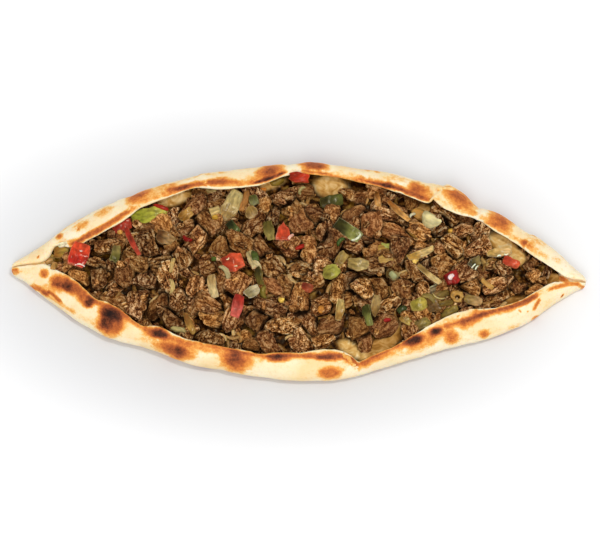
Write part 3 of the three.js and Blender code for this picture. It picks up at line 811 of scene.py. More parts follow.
def blockBase(cuts):  # a cube cut into an even grid, from which every piece of meat is shaped
    deselect()
    bpy.ops.mesh.primitive_cube_add(size=2)
    base = bpy.context.object
    editWhole(bpy.ops.mesh.subdivide, number_cuts=cuts)
    return base


sides = ("length", "width", "thickness")


def sizeShare(x):  # pieces get smaller towards the ends of the boat
    return min(1, max(0.6, moundHalfWidth(x) / 32))


def beefDice():  # where each dice lies: a jittered grid of rows, each with its own size, turn and tilt
    draw = seededRandom(beefSettings["seed"])

    def either(most):  # up to that far either way
        return most * (2 * next(draw) - 1)

    dice = []
    rows, columns = beefSettings["rows"], beefSettings["columns"]
    for row in range(-rows, rows + 1):
        for column in range(-columns, columns + 1):
            x = (column + (0.5 if row % 2 else 0)) * beefSettings["pitchX"] + either(beefSettings["jitter"])
            y = row * beefSettings["pitchY"] + either(beefSettings["jitter"])
            size = [lerp(*beefSettings[side], next(draw)) * sizeShare(x) for side in sides]
            turn = next(draw) * 180
            tilt, roll = either(beefSettings["tilt"]), either(beefSettings["tilt"])
            z = float(coreTop(x, y)) + lerp(0.5, 3, next(draw))
            dice.append({"at": (x, y, z), "size": size, "turn": turn, "tilt": tilt, "roll": roll})
    return dice


heapTree = treeOf(frameNodes["beef_heap"])
vegetableNames = [name for name in frameNodes if name not in ("dough", "beef_heap")]
vegetableBoxes = [[np.array(corner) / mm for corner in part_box(name)] for name in vegetableNames]


castHeight = 60  # higher than anything in the scene, in millimetres


def castDown(tree, x, y):  # the point and normal that a tree shows from above, at a place in millimetres
    hit, normal, _, _ = tree.ray_cast(Vector((x, y, castHeight)) * mm, Vector((0, 0, -1)))
    return hit, normal


def heightOf(tree, x, y):  # top of a tree's meshes, in millimetres, or 0 beside them
    hit, _ = castDown(tree, x, y)
    return hit.z / mm if hit else 0


def isInHeap(dice):  # the dice that the frame's heap carries
    x, y, z = dice["at"]
    return heightOf(heapTree, x, y) > z + dice["size"][2] * 0.12


def isClear(x, y, reach):  # away from every vegetable
    return all(x + reach < low[0] or x - reach > high[0] or y + reach < low[1] or y - reach > high[1]
               for low, high in vegetableBoxes)


def isBare(at, reach=0):  # whether a piece that long would cover bare dough, in millimetres
    around = np.array([(0, 0, 0), (reach, 0, 0), (-reach, 0, 0), (0, reach, 0), (0, -reach, 0)])
    return barenessAt((np.array(at) + around) * mm).max() > 0.5


def gapAt(spot, others):  # how far a piece would lie from the edges of the others, in millimetres
    if not others:
        return 0
    away = np.array([o["at"][:2] for o in others]) - np.array(spot["at"][:2])
    return (np.linalg.norm(away, axis=1) - np.array([o["size"][0] + o["size"][1] for o in others]) / 4).min()


def scattered(settings, tree, clearOf, others=()):  # small pieces laid on what lies below
    rng = np.random.default_rng(settings["seed"])
    pieces = []
    while len(pieces) < settings["count"]:
        tries = [drawPiece(settings, rng, tree, clearOf) for _ in range(settings["tries"])]
        tries = [spot for spot in tries if spot]
        if tries:
            pieces.append(max(tries, key=lambda spot: gapAt(spot, list(others) + pieces)))
    return pieces


def drawPiece(settings, rng, tree, clearOf):  # one piece at a random place, or None where it can't lie
    margin = bedSettings["endMargin"]
    x = rng.uniform(bedSettings["start"] + margin, bedSettings["end"] - margin)
    far, near = wallAt(x, 1), wallAt(x, -1)
    size = [rng.uniform(*settings[side]) * sizeShare(x) for side in sides]
    y = rng.uniform(near + size[1] * 0.6, far - size[1] * 0.6)
    turn = rng.uniform(0, 180)
    tilt, roll = rng.uniform(-1, 1, 2) * settings["tilt"]
    roundness = rng.uniform(0.4, 0.8)
    z = heightOf(tree, x, y) + rng.uniform(*settings["sink"])
    isTight = far - near < size[1] + 3
    if isTight or isBare((x, y, z), 0.3 * size[0]) or (clearOf and not isClear(x, y, size[0] * 0.35)):
        return None
    return {"at": (x, y, z), "size": size, "turn": turn, "tilt": tilt, "roll": roll, "roundness": roundness}


placedPieces = [  # small pieces that show at the ends of the boat: pixel in the camera's view, size, turn
    {"pixel": (534, 276), "size": (9, 7, 7), "turn": 40}, {"pixel": (541, 283), "size": (8, 6, 6), "turn": 10},
    {"pixel": (546, 275), "size": (6, 5, 5), "turn": 70}, {"pixel": (529, 268), "size": (8, 6, 6), "turn": 120},
    {"pixel": (58, 269), "size": (8, 6, 6), "turn": 20},
]
crinkledPiece = {"pixel": (382, 327), "size": (18, 13, 8.5), "turn": 42}  # by the bare dough of the near edge


def onSurface(spot, tree):  # a placed piece resting on a tree
    hit, _ = castPixel(tree, spot["pixel"])
    at = tuple(np.array(hit) / mm + (0, 0, spot["size"][2] * 0.25))
    return spot | {"at": at, "tilt": 0, "roll": 10, "roundness": 0.4}


def shapeChunk(corners, size, rng, roundness):
    # Draws the cube in towards a ball, cuts flat facets, narrows one end, and bends and twists it.
    ball = corners / np.linalg.norm(corners, axis=1)[:, None] * 1.12
    p = lerp(corners, ball, roundness)
    for _ in range(5):
        normal = rng.normal(size=3) * (1, 1, 0.8)
        normal /= np.linalg.norm(normal)
        over = np.maximum(0, p @ normal - rng.uniform(0.68, 0.98))
        p = p - normal * (over * 0.9)[:, None]
    along = p[:, 0].copy()
    p[:, 1] = p[:, 1] * (1 + rng.uniform(-0.3, 0.3) * along) + rng.uniform(-0.35, 0.35) * (along ** 2 - 0.4)
    p[:, 2] = p[:, 2] * (1 + rng.uniform(-0.2, 0.2) * along) - rng.uniform(-0.15, 0.3) * (along ** 2 - 0.4)
    twist = rng.uniform(-0.5, 0.5) * along
    y, z = p[:, 1].copy(), p[:, 2].copy()
    p[:, 1], p[:, 2] = y * np.cos(twist) - z * np.sin(twist), y * np.sin(twist) + z * np.cos(twist)
    return p * np.array(size) / 2


def foldRelief(piece, p, rng, settings):
    # Rounded folds with sharp creases between them, longer along the fibre; returns the height, 0 to 1.
    shift = rng.uniform(0, 90, 3)
    stretch = (rng.choice([0.14, 0.3, 0.6]), 1, 1)
    warp = np.stack([noiseAt(p + shift, 5, seed) + 0.4 * noiseAt(p + shift, 2.4, seed + 3)
                     for seed in (1, 2, 3)], axis=1)
    q = p + shift + 1.3 * warp
    folds = np.clip(np.abs(noiseAt(q, settings["fold"], 4, stretch)) * 2.4, 0, 1)
    lump = noiseAt(p + shift, settings["lump"][0], 5)
    placeVertices(piece, p)
    normals = vertexNormals(piece)
    rise = settings["foldDepth"] * rng.uniform(0.25, 1.2) * (folds - 0.55) + settings["lump"][1] * lump
    grain = (p + shift + 0.9 * warp) * np.array(stretch) ** 0.5
    return p + normals * rise[:, None], folds, grain


def keepInTrough(places, centre):  # pulls vertices back that would stand in the dough
    start = Vector(centre)
    for i, place in enumerate(places):
        way = Vector(place) - start
        hit, _, _, distance = crustTree.ray_cast(start, way.normalized(), way.length)
        if hit:
            places[i] = np.array(start) + np.array(way.normalized()) * max(0, distance - 0.2 * mm)
    return places


def turnOf(dice):
    return np.array(Euler([math.radians(dice[a]) for a in ("roll", "tilt", "turn")]).to_matrix())


def giveWay(places, dice, others):
    # Pulls a piece in where another one lies, so that a gap runs between them, and returns how near they are.
    centre = np.array(dice["at"])
    nearest = np.full(len(places), 9.0)
    for other in others:
        reach = np.array(other["size"]) * 0.47
        q = np.abs((places - np.array(other["at"])) @ turnOf(other)) / reach
        inside = (q ** 3.2).sum(axis=1) ** (1 / 3.2)
        pull = np.clip(1.06 - inside, 0, 0.4) * reach.mean() * 0.8
        inward = centre - places
        length = np.linalg.norm(inward, axis=1)
        places = places + inward / length[:, None] * np.minimum(pull, length * 0.6)[:, None]
        nearest = np.minimum(nearest, (inside - 1) * reach.mean())
    return places, 1 - smoothStep(-0.4, 2.4, nearest)


def makeChunk(base, dice, index, settings, tone, neighbours):
    rng = np.random.default_rng(1000 + index)
    piece = newObject("chunk", base.data.copy())
    p = shapeChunk(vertexPlaces(base), dice["size"], rng, dice["roundness"])
    p, folds, grain = foldRelief(piece, p, rng, settings)
    places = p @ turnOf(dice).T + np.array(dice["at"])
    places, contact = giveWay(places, dice, neighbours)
    places = places * mm
    places[:, 2] -= max(0, places[:, 2].max() - settings["topLimit"] * mm)
    places = keepInTrough(places, Vector(dice["at"]) * mm)
    placeVertices(piece, places)
    # painted shade: each piece darkens to the juice colour low on its sides and where it touches its neighbours
    deep = smoothStep(-0.5, 0.6, (places[:, 2] / mm - dice["at"][2]) / dice["size"][2] * 2)
    # painted highlight and shade: the fold share is raised on convex ridges and lowered in hollows, from the
    # mesh's curvature
    around = np.stack([spread(piece, places[:, axis], 3) for axis in range(3)], axis=1)
    crest = ((places - around) * vertexNormals(piece)).sum(axis=1)
    crest = (crest - crest.mean()) / crest.std()
    setAttribute(piece, "fold", np.clip(0.4 * folds + 0.6 * (0.45 + 0.3 * crest), 0, 1))
    setAttribute(piece, "grain", grain)
    setAttribute(piece, "tone", np.stack([np.full(len(p), t) for t in tone], axis=1))
    setAttribute(piece, "soakedAndShaded", 1 - deep * (1 - contact))
    return piece


beefColours = {
    "tan": [(0.0, "#1c0800"), (0.26, "#6c3810"), (0.5, "#ba7a3c"), (0.73, "#e6aa62"), (1.0, "#ffe2aa")],
    "brown": [(0.0, "#180602"), (0.26, "#5a2d14"), (0.5, "#965c32"), (0.73, "#c48c58"), (1.0, "#f4ce9a")],
    # juice colour, also laid on as painted shade low on each piece and where pieces touch
    "soakedAndShaded": "#190700",
}


# Stir-fried beef: crinkled along its fibres, matt with a thin film of fat.
# It is tan on the folds and dark in the creases, with painted highlight on the ridges and painted shade in the
# hollows.
def beefMaterial():
    material, tree = newMaterial("fried_beef")
    place, grain = objectPlace(tree), attributeNode(tree, "grain", "Vector")
    fold, wetAndShaded = attributeNode(tree, "fold"), attributeNode(tree, "soakedAndShaded")
    tone = addNode(tree, "ShaderNodeSeparateXYZ", None, {0: attributeNode(tree, "tone", "Vector")}).outputs
    creases = []
    for scale, width in ((0.42, 0.05), (0.95, 0.07)):
        crinkle = mathNode(tree, "SUBTRACT", noiseNode(tree, grain, scale, 1.5, distortion=0.6), 0.5)
        side = mathNode(tree, "ABSOLUTE", crinkle)
        creases.append(rangeNode(tree, side, fromMax=width, curve="SMOOTHSTEP"))
    blotch, film = noiseNode(tree, grain, 0.13, 2), noiseNode(tree, grain, 0.3, 2)
    speck = noiseNode(tree, grain, 0.9, 5, 0.75)
    crumbly = noiseNode(tree, place, 1 / (0.95 * mm), 2, 0.9)
    grainy = mathNode(tree, "MULTIPLY_ADD", crumbly, 1.25, speck)
    fineAndCoarse = mathNode(tree, "MULTIPLY_ADD", creases[1], 0.4, creases[0])
    relief = mathNode(tree, "MULTIPLY_ADD", fold, 2.2, fineAndCoarse)
    full = rangeNode(tree, mathNode(tree, "MULTIPLY_ADD", grainy, 4.4, relief), 6.02, 8.42)
    crinkled = rangeNode(tree, tone[2], toMin=0.45)
    shade = addNode(tree, "ShaderNodeMix", {2: 0.55}, {0: crinkled, 3: full}).outputs[0]
    mixed = rangeNode(tree, blotch, 0.35, 0.65, -0.3, 0.3)
    browning = mathNode(tree, "ADD", tone[0], mixed, clamp=True)
    tan, brown = rampNode(tree, shade, beefColours["tan"]), rampNode(tree, shade, beefColours["brown"])
    meat = mixNode(tree, browning, tan, brown)
    lit = mixNode(tree, 1.0, meat, rangeNode(tree, tone[1], toMin=0.62, toMax=1.3), "MULTIPLY")
    folded = mathNode(tree, "MULTIPLY", fineAndCoarse, crinkled)
    height = mathNode(tree, "MULTIPLY_ADD", grainy, 0.9, folded)
    addSurface(tree, {"IOR": 1.36, "Specular IOR Level": 0.27, "Specular Tint": (1, 0.78, 0.5, 1)},
               {"Base Color": mixNode(tree, wetAndShaded, lit, beefColours["soakedAndShaded"]),
                "Roughness": rangeNode(tree, film, 0.46, 0.6, 0.6, 0.12),
                "Normal": bumpNode(tree, height, 1.0, 0.85 * mm)})
    return material


def closeTo(dice, others):
    at = np.array(dice["at"])
    return [o for o in others if o is not dice
            and np.linalg.norm(np.array(o["at"]) - at) < (max(o["size"]) + max(dice["size"])) * 0.55]


def makePieces(dice, others, settings, seed, name):
    base = blockBase(settings["cuts"])
    rng = np.random.default_rng(seed)
    chunks = [makeChunk(base, d, seed * 1000 + i, settings, rng.beta((0.9, 1, 1), (0.8, 1, 1)),
                        closeTo(d, others)) for i, d in enumerate(dice)]
    bpy.data.objects.remove(base)
    piece = join(chunks, name)
    finishPiece(piece, beefLook, "beef", "beef_heap")
    print(name, len(dice), "pieces,", len(piece.data.polygons), "faces")
    return piece


def carriers(tree):  # scraps under the middles of vegetables that nothing else carries
    spots = []
    for name, (low, high) in zip(vegetableNames, vegetableBoxes):
        x, y = (low + high)[:2] / 2
        hit, _, _, _ = treeOf(frameNodes[name]).ray_cast(Vector((x, y, 0)) * mm, Vector((0, 0, 1)))
        if hit and hit.z / mm - heightOf(tree, x, y) > 0.3:
            top, bottom = hit.z / mm + 0.9, heightOf(tree, x, y) - 0.8
            size = [*np.clip((high - low)[:2] * 0.7, 4.5, 11), (top - bottom) * 1.1]
            spots.append({"at": (x, y, (top + bottom) / 2), "size": size, "turn": 0, "tilt": 0, "roll": 0,
                          "roundness": 0.4})
    return spots


beefLook = beefMaterial()
rounding = np.random.default_rng(beefSettings["roundingSeed"])
dice = [d | {"roundness": rounding.uniform(*beefSettings["roundness"])} for d in beefDice()
        if isInHeap(d) and not isBare(d["at"], beefSettings["bareReach"] * d["size"][0])]
isStrip = [d["size"][0] / d["size"][1] > beefSettings["stripRatio"] for d in dice]
bedTree = treeOf(bed)
placed = [onSurface(spot, bedTree) for spot in placedPieces]
fillers = placed + scattered(fillerSettings, bedTree, False, dice + placed)
fillers.append(onSurface(crinkledPiece, bedTree))
filler = makePieces(fillers, dice, fillerSettings, 1, "beef_pieces")
cubes = makePieces([d for d, strip in zip(dice, isStrip) if not strip], dice, beefSettings, 2, "beef_cubes")
strips = makePieces([d for d, strip in zip(dice, isStrip) if strip], dice, beefSettings, 3, "beef_strips")
underlay = treeOf(bed, filler, cubes, strips)
crumbSpots = carriers(underlay) + scattered(crumbSettings, underlay, True)
crumbs = makePieces(crumbSpots, [], crumbSettings, 4, "beef_crumbs")


vegetableSettings = {
    "voxel": 0.45, "smooth": 4, "wave": (6, 1.0), "dent": (2.2, 0.22), "ragged": 1.6, "uneven": 0.35,
    "darkerLowAndBlotches": "#3a1c08",  # colour each piece darkens to towards its bottom, and in blotches
    "seed": 50,
}

# Colours from the left end of each piece to its right end, then that of its thin cut sides.
vegetableColours = {
    "tomato_1": ["#a81e14", "#d04828", "#f08a68"],
    "tomato_2": ["#98301a", "#c8502e", "#e08050"],
    "tomato_3": ["#801410", "#a42420", "#7c1814"],
    "red_pepper_1": ["#8c1c0c", "#a83420", "#d0603c"],
    "red_pepper_2": ["#8a2414", "#a43824", "#b86848"],
    "red_pepper_3": ["#b43c20", "#c4482a", "#e09070"],
    "red_pepper_4": ["#c8584a", "#98281c", "#d87060"],
    "red_pepper_5": ["#88200c", "#b03018", "#d06838"],
    "red_pepper_6": ["#a83820", "#c04c2c", "#dc7048"],
    "red_pepper_7": ["#7c2c18", "#964426", "#b06040"],
    "green_pepper_1": ["#8c8c28", "#a8a03c", "#c0b45c"],
    "green_pepper_2": ["#8c5c20", "#a88838", "#c0a050"],
    "green_pepper_3": ["#342c08", "#4c4c1c", "#6c6a34"],
    "green_pepper_4": ["#2c2808", "#7c7c3c", "#d8d4a0"],
    "green_pepper_5": ["#7c7028", "#a09a40", "#c8bc60"],
    "green_pepper_6": ["#8c7c2c", "#a8943c", "#ccb460"],
    "green_pepper_7": ["#6c5424", "#94803c", "#b09850"],
    "green_pepper_8": ["#805c24", "#a88c44", "#c8a860"],
    "green_pepper_9": ["#4c4814", "#7c6c38", "#988858"],
    "green_pepper_10": ["#544818", "#84743a", "#a89450"],
    "green_pepper_11": ["#4c4c1c", "#787444", "#a0946a"],
    "green_pepper_12": ["#1c2004", "#4c5424", "#6c6c40"],
    "green_pepper_13": ["#342c08", "#544818", "#846c38"],
    "green_pepper_14": ["#3c3c10", "#686830", "#989258"],
    "green_pepper_15": ["#543c14", "#887444", "#b8a870"],
    "green_pepper_16": ["#2c2404", "#847040", "#e0c898"],
    "green_pepper_17": ["#b08c48", "#d0a86c", "#f0d4a0"],
    "pepper_ring_1": ["#a87c38", "#b48a44", "#7c4c1c"],
    "onion_1": ["#9c7c44", "#b09c64", "#d0b888"],
    "onion_2": ["#a08c5c", "#bca878", "#d0bc8c"],
    "onion_3": ["#a48450", "#c4ac78", "#dcc494"],
    "onion_4": ["#7c5020", "#a47c38", "#c49c54"],
    "onion_5": ["#946c30", "#b89c5c", "#d0b478"],
    "onion_6": ["#8c5824", "#ac7c40", "#cc9c64"],
    "onion_7": ["#905820", "#d09850", "#ecc480"],
    "onion_8": ["#a88038", "#d0b070", "#e8cc98"],
    "onion_9": ["#94743c", "#c0a468", "#dccc98"],
    "onion_10": ["#907840", "#a89058", "#c0a470"],
    "onion_11": ["#785828", "#a08450", "#c4a870"],
    "onion_12": ["#88784c", "#b8a880", "#e4dcb8"],
    "onion_13": ["#5c3e14", "#846438", "#a08050"],
    "onion_14": ["#84581c", "#b88c48", "#dcb468"],
    "onion_15": ["#8c7038", "#a88454", "#b89868"],
    "onion_16": ["#5c3818", "#9c7848", "#c8a874"],
    "onion_17": ["#8c6c34", "#ac8c5c", "#cca878"],
    "onion_18": ["#80642c", "#9c8044", "#b09460"],
}


def mainAxes(places):  # the middle of a piece, and its directions from the longest to the thinnest
    middle = places.mean(axis=0)
    _, _, axes = np.linalg.svd(places - middle, full_matrices=False)
    return middle, axes


def shadeVegetable(piece, colours, seed):  # colours along its length, with the cut sides in their own
    places, normals = vertexPlaces(piece), vertexNormals(piece)
    middle, axes = mainAxes(places)
    centred = places - middle
    longest = axes[0] if axes[0][0] > 0 else -axes[0]
    share = centred @ longest
    share = smoothStep(0.2, 0.8, (share - share.min()) / np.ptp(share) + 0.15 * noiseAt(places, 3 * mm, seed))
    side = 1 - smoothStep(0.45, 0.85, np.abs(normals @ axes[2]))
    left, right, cut = (np.array(linear(colour)) for colour in colours)
    body = left + (right - left) * share[:, None]
    mottle = 1 + 0.24 * noiseAt(places, 2.4 * mm, seed + 1) + 0.14 * noiseAt(places, 0.9 * mm, seed + 2)
    tint = (body + (cut - body) * (0.75 * side)[:, None]) * mottle[:, None]
    # each piece is darker towards its bottom, and in blotches
    low = 1 - smoothStep(0, 0.55, (places[:, 2] - places[:, 2].min()) / np.ptp(places[:, 2]))
    darkerLowAndBlotches = np.clip(0.8 * low + smoothStep(0.25, 0.7, noiseAt(places, 4 * mm, seed + 4)) * 0.4, 0, 0.8)
    tint = tint + (np.array(linear(vegetableSettings["darkerLowAndBlotches"])) - tint) * darkerLowAndBlotches[:, None]
    tint[:, 3] = 1
    setAttribute(piece, "tint", np.clip(tint, 0, 1))
    setAttribute(piece, "grain", centred @ axes.T / mm + 10 * seed)


def calmness(places):  # large pieces are smoother
    return 1 - 0.65 * smoothStep(12 * mm, 20 * mm, np.linalg.norm(np.ptp(places, axis=0)))


def roughen(places, seed):  # uneven ends and width, as a knife leaves them
    middle, axes = mainAxes(places)
    along, across, thick = ((places - middle) @ axes.T).T
    flat = np.zeros_like(along)
    calm = calmness(places)
    endNoise = noiseAt(np.stack([flat, across, thick], axis=1), 3 * mm, seed)
    sideNoise = noiseAt(np.stack([along, flat, flat], axis=1), 4 * mm, seed + 1)
    ends = endNoise * vegetableSettings["ragged"] * mm * calm
    width = 1 + vegetableSettings["uneven"] * calm * sideNoise
    along = along + ends * np.clip(np.abs(along) / np.ptp(along) * 2, 0, 1) * np.sign(along)
    return np.stack([along, across * width, thick], axis=1) @ axes + middle


def largestPart(piece):  # drops the specks that remeshing leaves beside a piece
    makeActive(piece)
    editWhole(bpy.ops.mesh.separate, type="LOOSE")
    parts = sorted(bpy.context.selected_objects, key=lambda part: len(part.data.vertices))
    for part in parts[:-1]:
        bpy.data.objects.remove(part)
    return parts[-1]


def makeVegetable(name, seed):
    piece = copyOfNode(name, name + "_look")
    applyModifier(piece, "REMESH", mode="VOXEL", voxel_size=vegetableSettings["voxel"] * mm)
    piece = largestPart(piece)
    applyModifier(piece, "SMOOTH", factor=0.5, iterations=vegetableSettings["smooth"])
    placeVertices(piece, roughen(vertexPlaces(piece), seed))
    places, normals = vertexPlaces(piece), vertexNormals(piece)
    rise = sum(height * noiseAt(places, size * mm, seed + i)
               for i, (size, height) in enumerate([vegetableSettings["wave"], vegetableSettings["dent"]]))
    placeVertices(piece, places + normals * (rise * calmness(places) * mm)[:, None])
    shadeVegetable(piece, vegetableColours[name], seed)
    return piece


# Wet cut vegetables: smooth skins and juicy flesh with a film of fat, some light passing through them.
def vegetableMaterial(name, scatter, roughness, streak, stretch):
    material, tree = newMaterial(name)
    grain, tint = attributeNode(tree, "grain", "Vector"), attributeNode(tree, "tint", "Color")
    along = addNode(tree, "ShaderNodeMapping", {"Scale": (stretch, 1, 1)}, {"Vector": grain}).outputs[0]
    cells = noiseNode(tree, along, 1 / streak, 4, distortion=0.4)
    light = rangeNode(tree, cells, 0.3, 0.7, 0.56, 1.38)
    addSurface(tree, {"IOR": 1.36, "Roughness": roughness, "Specular IOR Level": 0.3,
                      "Specular Tint": (1, 0.9, 0.7, 1), "Subsurface Weight": scatter,
                      "Subsurface Radius": (1.0, 0.7, 0.35), "Subsurface Scale": 2 * mm},
               {"Base Color": mixNode(tree, 1.0, tint, light, "MULTIPLY"),
                "Normal": bumpNode(tree, cells, 0.6, 0.4 * mm)})
    return material


vegetableKinds = {
    "tomato": ("tomatoes", "tomato", vegetableMaterial("fried_tomato", 0.3, 0.14, 2.6, 0.7)),
    "red_pepper": ("red_peppers", "red_pepper", vegetableMaterial("red_pepper_skin", 0.15, 0.2, 2.2, 0.5)),
    "green_pepper": ("green_peppers", "green_pepper", vegetableMaterial("green_pepper_skin", 0.2, 0.2, 2, 0.4)),
    "pepper_ring": ("pepper_rings", "pepper_ring", vegetableMaterial("chilli_ring", 0.2, 0.25, 1.2, 0.6)),
    "onion": ("onions", "onion", vegetableMaterial("soft_fried_onion", 0.5, 0.15, 1.5, 0.3)),
}
for kind, (pieceName, slot, look) in vegetableKinds.items():
    names = [name for name in vegetableNames if name.rsplit("_", 1)[0] == kind]
    seeds = [vegetableSettings["seed"] + 3 * i for i in range(len(names))]
    piece = join([makeVegetable(name, seed) for name, seed in zip(names, seeds)], pieceName)
    finishPiece(piece, look, slot, *names)
    print(pieceName, len(names), "pieces,", len(piece.data.polygons), "faces")


def shred(x, y, size, turn, colour, **more):  # pixel in the camera's view, and length, width and thickness
    return {"pixel": (x, y), "size": size, "turn": turn, "colour": colour, **more}


strewn = {  # slot, roundness and pieces of each kind
    "onion_shreds_and_painted_highlights": ("onion", 0.35, [
        shred(172, 265, (9, 2.4, 1.6), 80, "#c0a060"),
        shred(172, 287, (10, 3, 1.8), 95, "#c4a868"),
        shred(178, 329, (11, 4, 2), -15, "#a89860"),
        shred(245, 200, (16, 4.5, 2), 75, "#a06c34"),
        shred(215, 211, (6.5, 6, 2.4), 20, "#c0a468"),
        shred(263.5, 291, (10, 4, 2), 85, "#80702c"),
        shred(385, 260, (10, 8, 2), 10, "#a88444"),
        shred(384, 248, (8, 5, 2), 0, "#b0883c"),
        shred(431, 221, (12, 9, 3.6), -25, "#cfc08a", roundness=1, calm=0.4),
        shred(420, 215, (11, 8, 3), -30, "#d09a4c", roundness=0.8, calm=0.4),
        shred(412, 215, (5, 1.6, 1.4), 40, "#e8dcb4"),
        shred(211, 191, (7, 3, 1.6), -10, "#c0a468"),
        shred(447, 312, (14, 6, 2), 25, "#8c7434"),
        shred(433, 289.5, (13, 4, 1.5), 28, "#94805a", roundness=0.1),
        shred(442, 294, (9, 4, 1.5), 18, "#78602c", roundness=0.2),
        shred(429, 297, (9, 3.4, 1.5), -25, "#847038", roundness=0.2),
        shred(446, 303, (9, 3.4, 1.6), 10, "#6c5420", roundness=0.2),
        shred(432, 286.5, (11, 0.9, 0.9), 30, "#d0c494"),
        shred(438, 297.5, (8, 0.9, 0.9), -20, "#b8a468"),
        # painted highlights: pale bits on tomato_1 where its glints lie
        shred(80, 264.5, (6, 1, 0.6), -8, "#f8cbb8"),
        shred(81, 251, (1.6, 1, 0.5), 0, "#f8cbb8"),
        # painted highlights on tomato_2
        shred(228, 259, (2, 0.8, 0.5), 40, "#ffd0a0"),
        shred(236, 266, (1.6, 0.8, 0.5), 10, "#ffd0a0"),
        shred(484, 262, (7, 3, 1.6), -50, "#b08c50"),
        shred(487, 284, (9, 3, 1.6), -40, "#b88c48"),
        shred(226, 272, (10, 3.4, 1.8), 120, "#b0a070"),
        shred(301, 190, (6, 2, 1.4), 60, "#a89860"),
        # painted highlight with dark specks at the lip's end
        shred(63, 244.5, (5.5, 3, 2), 15, "#e8dcb8", roundness=0.9),
        shred(49, 261, (5, 4, 2.4), 30, "#b08850"),
        shred(54, 266, (5, 3.4, 2.2), 80, "#a87c40"),
        shred(52, 257, (4, 3, 2), 0, "#a08040"),
        # painted highlights: pale bits on tomato_3, green_pepper_4, red_pepper_3, green_pepper_16 and
        # green_pepper_17
        shred(451, 276.5, (3.8, 3, 0.7), 50, "#f4cfc6", roundness=1),
        shred(357, 238, (7, 1.4, 1.2), 38, "#f0f0cc"),
        shred(290.5, 236.5, (5, 1.6, 1.2), 45, "#f4b8a0"),
        shred(473.5, 266, (3.6, 0.8, 0.8), 50, "#e4e0bc"),
        shred(476.5, 267.5, (3.2, 0.8, 0.8), 55, "#e4e0bc"),
        shred(499, 255.5, (2.4, 0.9, 0.8), 10, "#f4ecc8"),
        shred(506, 254.5, (2.6, 0.9, 0.8), 0, "#f4ecc8"),
    ]),
    "pepper_shreds": ("green_pepper", 0.6, [
        shred(402, 309, (6, 4, 2), 30, "#38401e"),
        shred(386, 247, (6, 5, 2.4), 0, "#a8a850"),
        shred(393, 275, (5, 3.4, 2), -40, "#9c9c6c"),
        shred(214, 259, (3, 2.4, 2), 0, "#4c5c20"),
        shred(277, 181, (9, 5, 2), 20, "#8c7028"),
        shred(340, 241, (6, 2.4, 1.6), 50, "#3c5020"),
        shred(255, 256, (4, 8, 2), 15, "#44501c"),
    ]),
    "red_flecks": ("red_pepper", 0.7, [
        shred(161, 207, (9, 2.6, 1.6), -15, "#a02414"),
        shred(187, 239, (6, 2.4, 1.4), -25, "#780c08"),
        shred(300, 247, (7, 2.6, 1.8), 20, "#981c10"),
        shred(387, 320, (4, 2.2, 1.4), 10, "#981c1c"),
    ]),
    "pepper_seeds": ("pepper_ring", 1, [
        shred(120, 232, (3, 2.6, 1.4), 0, "#d89c48"),
        shred(263, 190, (4, 3, 2), 10, "#e8923c"),
        shred(451, 231, (4, 3.2, 2), 0, "#d8a444"),
        shred(321, 309, (3.4, 4.6, 1.6), 0, "#b87830"),
        shred(281.5, 300, (3.4, 3, 1.6), 0, "#e0b850"),
        shred(415, 260, (5, 4, 2.4), 60, "#ecc464"),
        shred(215, 217, (3.6, 2.8, 1.6), 0, "#b88c30"),
    ]),
}
looseShreds = {  # thin onion that fried soft and fell between the pieces of meat
    "seed": 77, "count": 60, "length": (6, 13), "width": (1.4, 2.8), "thickness": (0.8, 1.3),
    "colours": ["#a8804a", "#8c6430", "#b88c54", "#9c7038", "#7c5824", "#c4a068"],
    "ends": (30, 36), "wallGap": 4,  # distance from the ends of the trough and from its walls
    "highest": 3.5,  # above the core
}


def shredShape(base, size, roundness, bend, rng):  # a thin bent strip with uneven edges
    p = vertexPlaces(base)
    ball = p / np.linalg.norm(p, axis=1)[:, None] * 1.15
    p = lerp(p, ball, roundness)
    along, across = p[:, 0].copy(), p[:, 1].copy()
    p = p * np.array(size) / 2
    ragged = (0.25 - 0.2 * roundness) * size[1] * noiseAt(p + size[0], 3)
    p[:, 1] += rng.uniform(-bend, bend) * size[0] * (along ** 2 - 0.3) + ragged
    p[:, 2] -= rng.uniform(0, 0.1) * size[0] * along ** 2 + 0.2 * size[1] * across ** 2
    return p


def layOn(hit, normal, size, turn, p):  # sets a shred down on a surface, part sunk in it
    up = (Vector(normal) * 0.7 + Vector((0, 0, 1))).normalized()
    along = Vector((math.cos(math.radians(turn)), math.sin(math.radians(turn)), 0))
    along = (along - up * along.dot(up)).normalized()
    frameAxes = np.array([along, up.cross(along), up])
    return p @ frameAxes * mm + np.array(hit + up * size[2] * 0.25 * mm)


def makeShred(base, tree, spot, roundness, index):
    rng = np.random.default_rng(7000 + index)
    hit, normal = castPixel(tree, spot["pixel"]) if "pixel" in spot else (spot["hit"], spot["normal"])
    piece = newObject("shred", base.data.copy())
    p = shredShape(base, spot["size"], spot.get("roundness", roundness), spot.get("bend", 0.3), rng)
    placeVertices(piece, layOn(hit, normal, spot["size"], spot["turn"], p))
    mottle = 1 + 0.2 * noiseAt(p + index, 2)
    tint = np.array(linear(spot.get("colour", "#ffffff"))) * mottle[:, None]
    tint[:, 3] = 1
    setAttribute(piece, "tint", np.clip(tint, 0, 1))
    setAttribute(piece, "grain", p * spot.get("calm", 1) + 10 * index)
    return piece


